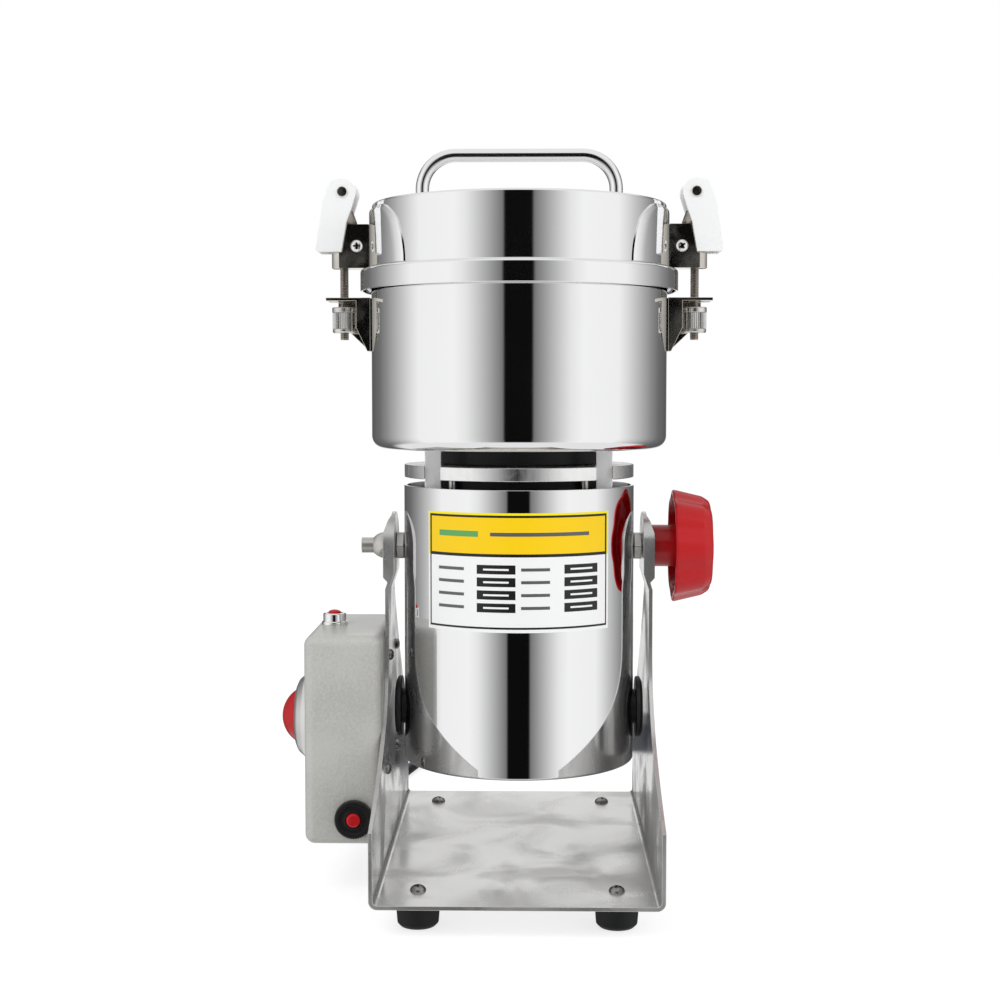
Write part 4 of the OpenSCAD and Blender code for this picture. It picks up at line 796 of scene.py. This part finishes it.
film_white = moulded("film_white", (0.88, 0.88, 0.87), 0.3, 0.05, 0.02, coat=0.4)
film_yellow = moulded("film_yellow", (0.93, 0.60, 0.0), 0.3, 0.05, 0.02, coat=0.12)
film_rim = moulded("film_rim", (0.93, 0.78, 0.0), 0.3, 0.05, 0.02, coat=0.12)
film_black = moulded("film_black", (0.012, 0.012, 0.012), 0.3, 0.05, 0.02, coat=0.12)
film_grey = moulded("film_grey", (0.10, 0.10, 0.10), 0.35, 0.05, 0.02, coat=0.4)
film_green = moulded("film_green", (0.10, 0.36, 0.10), 0.3, coat=0.4)
ROWS = [11.9, 18.1, 24.3, 30.4]
value_spots = [(u, v) for u in (-10.7, 32.3) for v in ROWS]
label = joined("label", [
    printed("film_edge", [(0, LABEL_H / 2)], LABEL_W, LABEL_H, 1, film_white),
    printed("film_frame", [(0, 19.1)], LABEL_W - 2.2, 35.0, 2, film_black),
    printed("film_field", [(0, 19.5)], LABEL_W - 4.0, 33.8, 3, film_white),
    printed("film_outer", [(0, 47.0)], LABEL_W, 21.0, 2, film_rim),
    printed("film_line", [(0, 46.4)], LABEL_W - 2.2, 20.0, 3, film_black),
    printed("film_band", [(0, 46.6)], LABEL_W - 4.6, 17.4, 4, film_yellow),
    printed("band_bar", [(11.5, 47.3)], 50, 1.8, 5, film_grey),
    printed("band_block", [(-30.5, 47.4)], 22, 2.8, 5, film_green),
    printed("value_boxes", value_spots, 19.0, 4.4, 4, film_black),
    printed("value_marks", value_spots, 12.5, 0.9, 5, film_white),
    printed("name_bars", [(-34.5, v) for v in ROWS], 15, 1.5, 4, film_grey),
    printed("unit_bars", [(8.5, v) for v in ROWS], 14, 1.5, 4, film_grey)])
dress(label, "head", "label_film")
tinted("rating_label", film_white)

# Pivot: a bolt through each side of the housing, a hexagon spacer in each gap, a dome nut on
# the left and a big lobed knob of red plastic on the right that clamps the tilt.
for node, name in (("pivot_bolts", "pivot_bolt_pair"), ("pivot_spacers", "pivot_spacer_pair"),
                   ("pivot_dome_nut", "pivot_cap_nut")):
    dress_softened(node, 0.35, name, zinc, "head", "hardware_steel")


def grip_tree():
    """Presses scallops into a turned knob along X: deepest at the rim, none at the hub."""
    tree, size, result = shape_tree("grip_scallops", {
        "Lobes": 8, "Depth": 0.06, "From X": 0.08, "From Radius": 0.015, "Full Radius": 0.024,
        "Pivot Height": 0.171})

    def do(operation, *values):
        return calc(tree, operation, *values)

    at = parts(tree, add(tree, "GeometryNodeInputPosition"))
    up = do("SUBTRACT", at["Z"], size["Pivot Height"])
    angle = do("ADD", do("ARCTAN2", up, at["Y"]), math.pi / 8)
    dip = do("POWER", do("MULTIPLY_ADD", do("COSINE", do("MULTIPLY", angle, size["Lobes"])), 0.5, 0.5), 1.6)
    radius = do("SQRT", do("ADD", do("MULTIPLY", up, up), do("MULTIPLY", at["Y"], at["Y"])))
    share = add(tree, "ShaderNodeMapRange", {"Value": radius, "From Min": size["From Radius"],
                                             "From Max": size["Full Radius"]},
                interpolation_type="SMOOTHSTEP")
    here = do("GREATER_THAN", at["X"], size["From X"])
    press = do("MULTIPLY", do("MULTIPLY", dip, size["Depth"]), do("MULTIPLY", share, here))
    keep = do("SUBTRACT", 1, press)
    spot = xyz(tree, at["X"], do("MULTIPLY", at["Y"], keep), do("ADD", do("MULTIPLY", up, keep),
                                                                size["Pivot Height"]))
    move = add(tree, "GeometryNodeSetPosition", {"Geometry": size["Geometry"], "Position": spot})
    feed(result, {0: move})
    return tree


PIVOT_Z, KNOB_X = 171, 65.2
knob_raw = lathe("knob_raw", fillet(
    [(0, 31.6), (12, 32.2), (22.6, 32.4), (25.4, 28), (28.95, 13.1), (26.4, 13.1), (21.8, 29.3),
     (10.7, 29.3), (10.7, 0), (4.05, 0), (4.05, 27.5), (0, 27.5)],
    [0, 8, 3.6, 6, 1.1, 0.9, 3, 2.5, 0.6, 0.3, 0, 0], 7),
    red_gloss, (AX + KNOB_X, 0, PIVOT_Z), "X", 192, crease=50)
knob = run_tree(knob_raw, grip_tree(), "knob_grip", **{
    "Lobes": 8, "Depth": 0.06, "From X": (AX + KNOB_X + 12.5) * MM, "From Radius": 15 * MM,
    "Full Radius": 23 * MM, "Pivot Height": PIVOT_Z * MM})
dress(knob, "clamp_knob", "red_gloss", "clamp_knob")

# Between housing and bowl: a turned aluminium flange, four posts that carry the bowl and a
# black sleeve round the shaft's seal.
turned = metal("turned_aluminium", (0.88, 0.875, 0.87), 0.26, spread=0.2, smudge=0.15,
               stretch=(500, 500, 20), bump=0.2, smudge_scale=90)
dress_softened("motor_flange", 0.3, "flange", turned, "head", "flange_aluminium")
# The posts are mostly flat near-white paint with only a little metal: a painted sheen that stands in for
# the bright reflection on the turned metal.
post_painted_sheen = metal("post_painted_sheen", (0.93, 0.93, 0.92), 0.4, stretch=(500, 500, 20),
                    bare=0.25)
dress_softened("standoffs", 0.3, "posts", post_painted_sheen, "head", "flange_aluminium")
neck_rubber = moulded("neck_rubber", (0.012, 0.012, 0.013), 0.5, bump=0.3, scale=400)
neck_lines = (("neck_drum", 12, 40, 213, 221, 1.0), ("neck_shroud", 15, 43, 198.4, 206.5, 0.6))
sleeve = joined("neck_drums", [
    lathe(name, fillet([(inner, low), (outer, low), (outer, top), (inner, top)], [0.4, 1.0, edge, 0.4], 4),
          neck_rubber, (AX, 0, 0), closed=True) for name, inner, outer, low, top, edge in neck_lines])
dress(sleeve, "head", "rubber_black", "neck_sleeve")

# The motor inside the housing: stator, windings, armature, commutator, brushes, fan and the
# bearings of the shaft. They show only through the gap under the bowl.
core_steel = metal("core_steel", (0.30, 0.29, 0.28), 0.4, 0.2, 0.3, stretch=(20, 20, 1200))
wire_copper = metal("wire_copper", (0.60, 0.28, 0.13), 0.35, 0.2, 0.2, stretch=(200, 200, 1500))
brass = metal("bare_brass", (0.66, 0.50, 0.24), 0.3, smudge=0.2)
carbon = moulded("carbon", (0.03, 0.03, 0.03), 0.7)
fan_resin = moulded("fan_resin", (0.55, 0.54, 0.48), 0.5)
for node, finish in (("motor_shaft", core_steel), ("motor_bolts", zinc), ("stator_core", core_steel),
                     ("field_coils", wire_copper), ("bearing_bracket", turned), ("motor_bearings", zinc),
                     ("brush_holders", brass), ("carbon_brushes", carbon), ("armature", core_steel),
                     ("commutator", wire_copper), ("cooling_fan", fan_resin)):
    tinted(node, finish)

# Brush caps: two black screw caps low on the housing's sides, each with a coin slot.
cap_line = fillet([(0, 56.3), (9, 56.3), (9, 59.95), (15.6, 59.95), (15.6, 61.9), (13.4, 63.15),
                   (7.5, 63.15), (6.9, 62.3), (0, 62.3)], [0, 0, 0.2, 0.5, 0.8, 0.8, 0.3, 0.3, 0], 4)
caps = joined("brush_cap_pair", [lathe("cap", cap_line, works_black, (AX, 0, 87.7), side, 96)
                                 for side in ("X", "-X")])
dress(caps, "head", "black_plastic", "brush_caps")

# Bowl: a drawn stainless pot on the posts, with a flat rim that carries the lid's gasket.
BOWL_LOW, RIM_TOP = 221, 307.5
bowl = lathe("bowl_pot", fillet(
    [(12, BOWL_LOW), (75, BOWL_LOW), (75, RIM_TOP - 1.5), (79, RIM_TOP - 1.5), (79, RIM_TOP),
     (73.5, RIM_TOP), (73.5, BOWL_LOW + 1.5), (12, BOWL_LOW + 1.5)],
    [0.4, 6.5, 0.8, 0.6, 0.6, 1.2, 5, 0.4], 10), polished, (AX, 0, 0), "Z", 224, closed=True)
dress(bowl, "head", "polished_steel", "bowl")
tinted("bowl_seal", soft_black)

# Rotor in the bowl: two crossed blades of hardened steel on the motor's shaft, with their
# spacers and nut.
blade_steel = metal("blade_steel", (0.56, 0.555, 0.54), 0.2, spread=0.2, smudge=0.15,
                    stretch=(60, 900, 900))
for node, name in (("lower_blade", "blade_low"), ("upper_blade", "blade_high"),
                   ("blade_spacers", "spacer_pair"), ("blade_nut", "shaft_nut")):
    dress_softened(node, 0.3, name, blade_steel, "rotor", "blade_steel")

# Lid: a drawn cap that seats on a white silicone ring, with a skirt over the bowl's rim and
# a handle of bent rod welded to its top.
LID_TOP = 343.6
lid = lathe("lid_cap", fillet(
    [(0, LID_TOP), (74.5, LID_TOP), (74.5, 311), (80.5, 311), (80.5, 300), (79.2, 300), (79.2, 309.5),
     (73, 309.5), (73, LID_TOP - 1.5), (0, LID_TOP - 1.5)],
    [0, 1.3, 0.9, 1.6, 0.55, 0.55, 0.5, 0.5, 1.5, 0], 8), polished, (AX, 0, 0), "Z", 224)
dress(lid, "head", "polished_steel", "lid")
tinted("lid_gasket", moulded("white_silicone", (0.72, 0.72, 0.70), 0.5))

handle_steel = metal("handle_steel", (0.9, 0.9, 0.9), 0.12, spread=0.05, smudge=0.05, bump=0.01)
LEG, BEND, HANDLE_R, HANDLE_Z = 52.5 - 3.4, 17, 3.4, LID_TOP + 28.8 - 3.4
handle_line = [(-LEG, 0, LID_TOP - 0.5), (-LEG, 0, LID_TOP + 4)]
quarter = [math.pi / 2 * k / 20 for k in range(21)]
handle_line += [(-LEG + BEND - BEND * math.cos(t), 0, HANDLE_Z - BEND + BEND * math.sin(t))
                for t in quarter]
handle_line += [(LEG - BEND + BEND * math.sin(t), 0, HANDLE_Z - BEND + BEND * math.cos(t))
                for t in quarter]
handle_line += [(LEG, 0, LID_TOP + 4), (LEG, 0, LID_TOP - 0.5)]
handle_line = [Vector(p) * MM + Vector((AXIS_X, 0, 0)) for p in handle_line]
handle_rod = run_tree(line_through(handle_line, "handle_line"), round_tube, "handle_rod",
                      Radius=HANDLE_R * MM, Sides=40, Finish=handle_steel)
welds = [lathe("weld", fillet([(3.2, 0), (5.0, 0), (3.3, 1.6), (3.2, 1.6)], [0, 0.5, 0.9, 0], 4), polished,
               (AX + x, 0, LID_TOP), "Z", 48, closed=True) for x in (-LEG, LEG)]
handle = joined("handle", [handle_rod] + welds)
dress(handle, "head", "polished_steel", "lid_handle")

# Latch pads: a bell-shaped saddle pressed from sheet and spot-welded to each side of the
# lid, which carries the catch.


def saddle(name, side, material):
    """A pad bent round the lid, with round edges and a bell outline."""
    low, high, rows_up, cols = 312.0, 340.8, 26, 28
    b = bmesh.new()

    def half_width(t):
        # nearly upright to the shoulder, then drawn in round the top
        return 56.3 - 4.3 * (min(t, 0.62) / 0.62) ** 2 - 13.6 * (max(0, t - 0.62) / 0.38) ** 1.7

    grids = []
    for radius in (76.0, 74.5):
        grid = []
        for i in range(rows_up + 1):
            t = i / rows_up
            line = []
            for k in range(cols + 1):
                s = 2 * k / cols - 1
                edge = max(abs(s), abs(2 * t - 1) if t > 0.5 else 0)
                lift = 1 - max(0, (edge - 0.9) / 0.1) ** 2 * 0.6
                r = radius if radius < 75 else 74.5 + 1.5 * lift
                a = s * half_width(t) / 75.0
                line.append(b.verts.new((side * r * math.cos(a), r * math.sin(a), low + t * (high - low))))
            grid.append(line)
        grids.append(grid)
    outer, inner = grids
    for i in range(rows_up):
        for k in range(cols):
            b.faces.new((outer[i][k], outer[i][k + 1], outer[i + 1][k + 1], outer[i + 1][k]))
            b.faces.new((inner[i][k], inner[i + 1][k], inner[i + 1][k + 1], inner[i][k + 1]))
    rim = [(0, k) for k in range(cols)] + [(i, cols) for i in range(rows_up)] \
        + [(rows_up, k) for k in range(cols, 0, -1)] + [(i, 0) for i in range(rows_up, 0, -1)]
    for (i, k), (p, q) in zip(rim, rim[1:] + rim[:1]):
        b.faces.new((outer[i][k], inner[i][k], inner[p][q], outer[p][q]))
    bmesh.ops.recalc_face_normals(b, faces=b.faces)
    b.transform(Matrix.Translation((AXIS_X, 0, 0)) @ Matrix.Scale(MM, 4))
    return piece_of(b, name, 50, material)


pads = joined("latch_saddles", [saddle("saddle", side, polished) for side in (-1, 1)])
dress(pads, "head", "polished_steel", "latch_pads")

# Catches on the lid and brackets on the bowl: folded steel sheet, plated, with a slot in
# each flange for the rod, and a cross-head screw through each catch.
latch_steel = metal("latch_steel", (0.66, 0.63, 0.57), 0.09, spread=0.06, smudge=0.2,
                    stretch=(200, 200, 200), bump=0.05, smudge_scale=70, dull=(0.30, 0.285, 0.26))
dress_softened("lid_catches", 0.35, "catch_pair", latch_steel, "head", "hardware_steel")
dress_softened("bowl_brackets", 0.35, "bracket_pair", latch_steel, "head", "hardware_steel")
CATCH_X, CATCH_Y, CATCH_Z = 82, 6.6, 323
catch_heads = joined("catch_screw_heads", [
    screws(name, [(AX + x, way * CATCH_Y, CATCH_Z) for x in (-CATCH_X, CATCH_X)], (0, way, 0), 3.1, 1.7,
           chrome)
    for name, way in (("catch_heads_front", -1), ("catch_heads_back", 1))])
dress(catch_heads, "head", "hardware_steel", "catch_screws")

# Swing rods: a threaded rod on each side with an eye for the lever on top, a cone that
# presses on the catch, and a knurled trunnion nut in the bowl's bracket that sets the pull.
rod_steel = metal("rod_steel", (0.42, 0.385, 0.34), 0.24, smudge=0.3, stretch=(200, 200, 200),
                  smudge_scale=90, dull=(0.25, 0.22, 0.19))
nut_steel = metal("nut_steel", (0.74, 0.73, 0.71), 0.22, smudge=0.2, stretch=(150, 150, 900),
                  smudge_scale=80)
SWING_Z, LEVER_Z, ROD_X = 286, 350, 89


def thread_line(low, high, radius, pitch, depth):
    """The outline of a threaded length, crest and root in turn."""
    count = int((high - low) / pitch)
    out = []
    for k in range(count):
        z = low + k * pitch
        out += [(radius - depth, z), (radius, z + pitch * 0.35), (radius, z + pitch * 0.5)]
    return out + [(radius - depth, low + count * pitch)]


for side, body in ((-1, "left_latch"), (1, "right_latch")):
    x = AX + side * ROD_X
    word = body.split("_")[0]
    rod = joined(word + "_swing_rod", [
        lathe("rod", [(0, 276), (2.0, 276)] + thread_line(276.5, 331, 2.2, 0.8, 0.3)
              + [(2.2, 331.6), (2.2, 348), (0, 348)], rod_steel, (x, 0, 0), "Z", 32, crease=25),
        lathe("cone", fillet([(2.1, 334.3), (6.6, 334.3), (6.6, 335.4), (4.4, 341.3), (2.1, 341.3)],
                             [0, 0.3, 0.8, 0.8, 0], 4), rod_steel, (x, 0, 0), "Z", 64, closed=True),
        lathe("eye", fillet([(2.05, -4.5), (4.6, -4.5), (4.6, 4.5), (2.05, 4.5)], [0.2, 0.6, 0.6, 0.2], 4),
              rod_steel, (x, 0, LEVER_Z), "Y", 64, closed=True)])
    dress(rod, body, "hardware_steel", word + "_latch_rod")
    nut = joined(word + "_trunnion_nut", [
        lathe("nut", fillet([(2.2, 279.5), (5.6, 279.5), (6.1, 280.2), (6.1, 281.2), (5.75, 281.6),
                             (5.75, 289.6), (6.3, 290), (6.3, 292.5), (2.2, 292.5)],
                            [0, 0.2, 0.2, 0.2, 0, 0, 0.3, 0.6, 0], 3),
              nut_steel, (x, 0, 0), "Z", 96, closed=True),
        ridges("nut_ridges", (x, 0, 285.6), (0, 0, 1), 5.75, 8.0, 40, 0.4, nut_steel),
        lathe("trunnion", fillet([(0, 0), (2.2, 0), (2.2, 9.8), (0, 9.8)], [0, 0, 0.4, 0], 4), nut_steel,
              (x, 0, SWING_Z), "Y", 48)])
    dress(nut, body, "hardware_steel", word + "_latch_nut")

# Levers: a chromed channel pressed from sheet that turns on the rod's eye. Swung down it
# pulls the rod tight over the catch.
# The levers' finish is nearly all flat near-white paint with only a little metal: a painted reflection of
# the white surround that the chrome shows.
lever_painted_reflection = metal("lever_painted_reflection", (0.97, 0.97, 0.965), 0.34, spread=0.08, smudge=0.1,
                    stretch=(120, 120, 120), bump=0.02, smudge_scale=60, bare=0.12)
for word in ("left", "right"):
    dress_softened(word + "_latch_lever", 0.7, word + "_lever_channel", lever_painted_reflection, word + "_lever",
                   "lever_chrome", 3)
    dress_softened(word + "_lever_pin", 0.4, word + "_lever_rivet", latch_steel, word + "_latch",
                   "hardware_steel", 3)
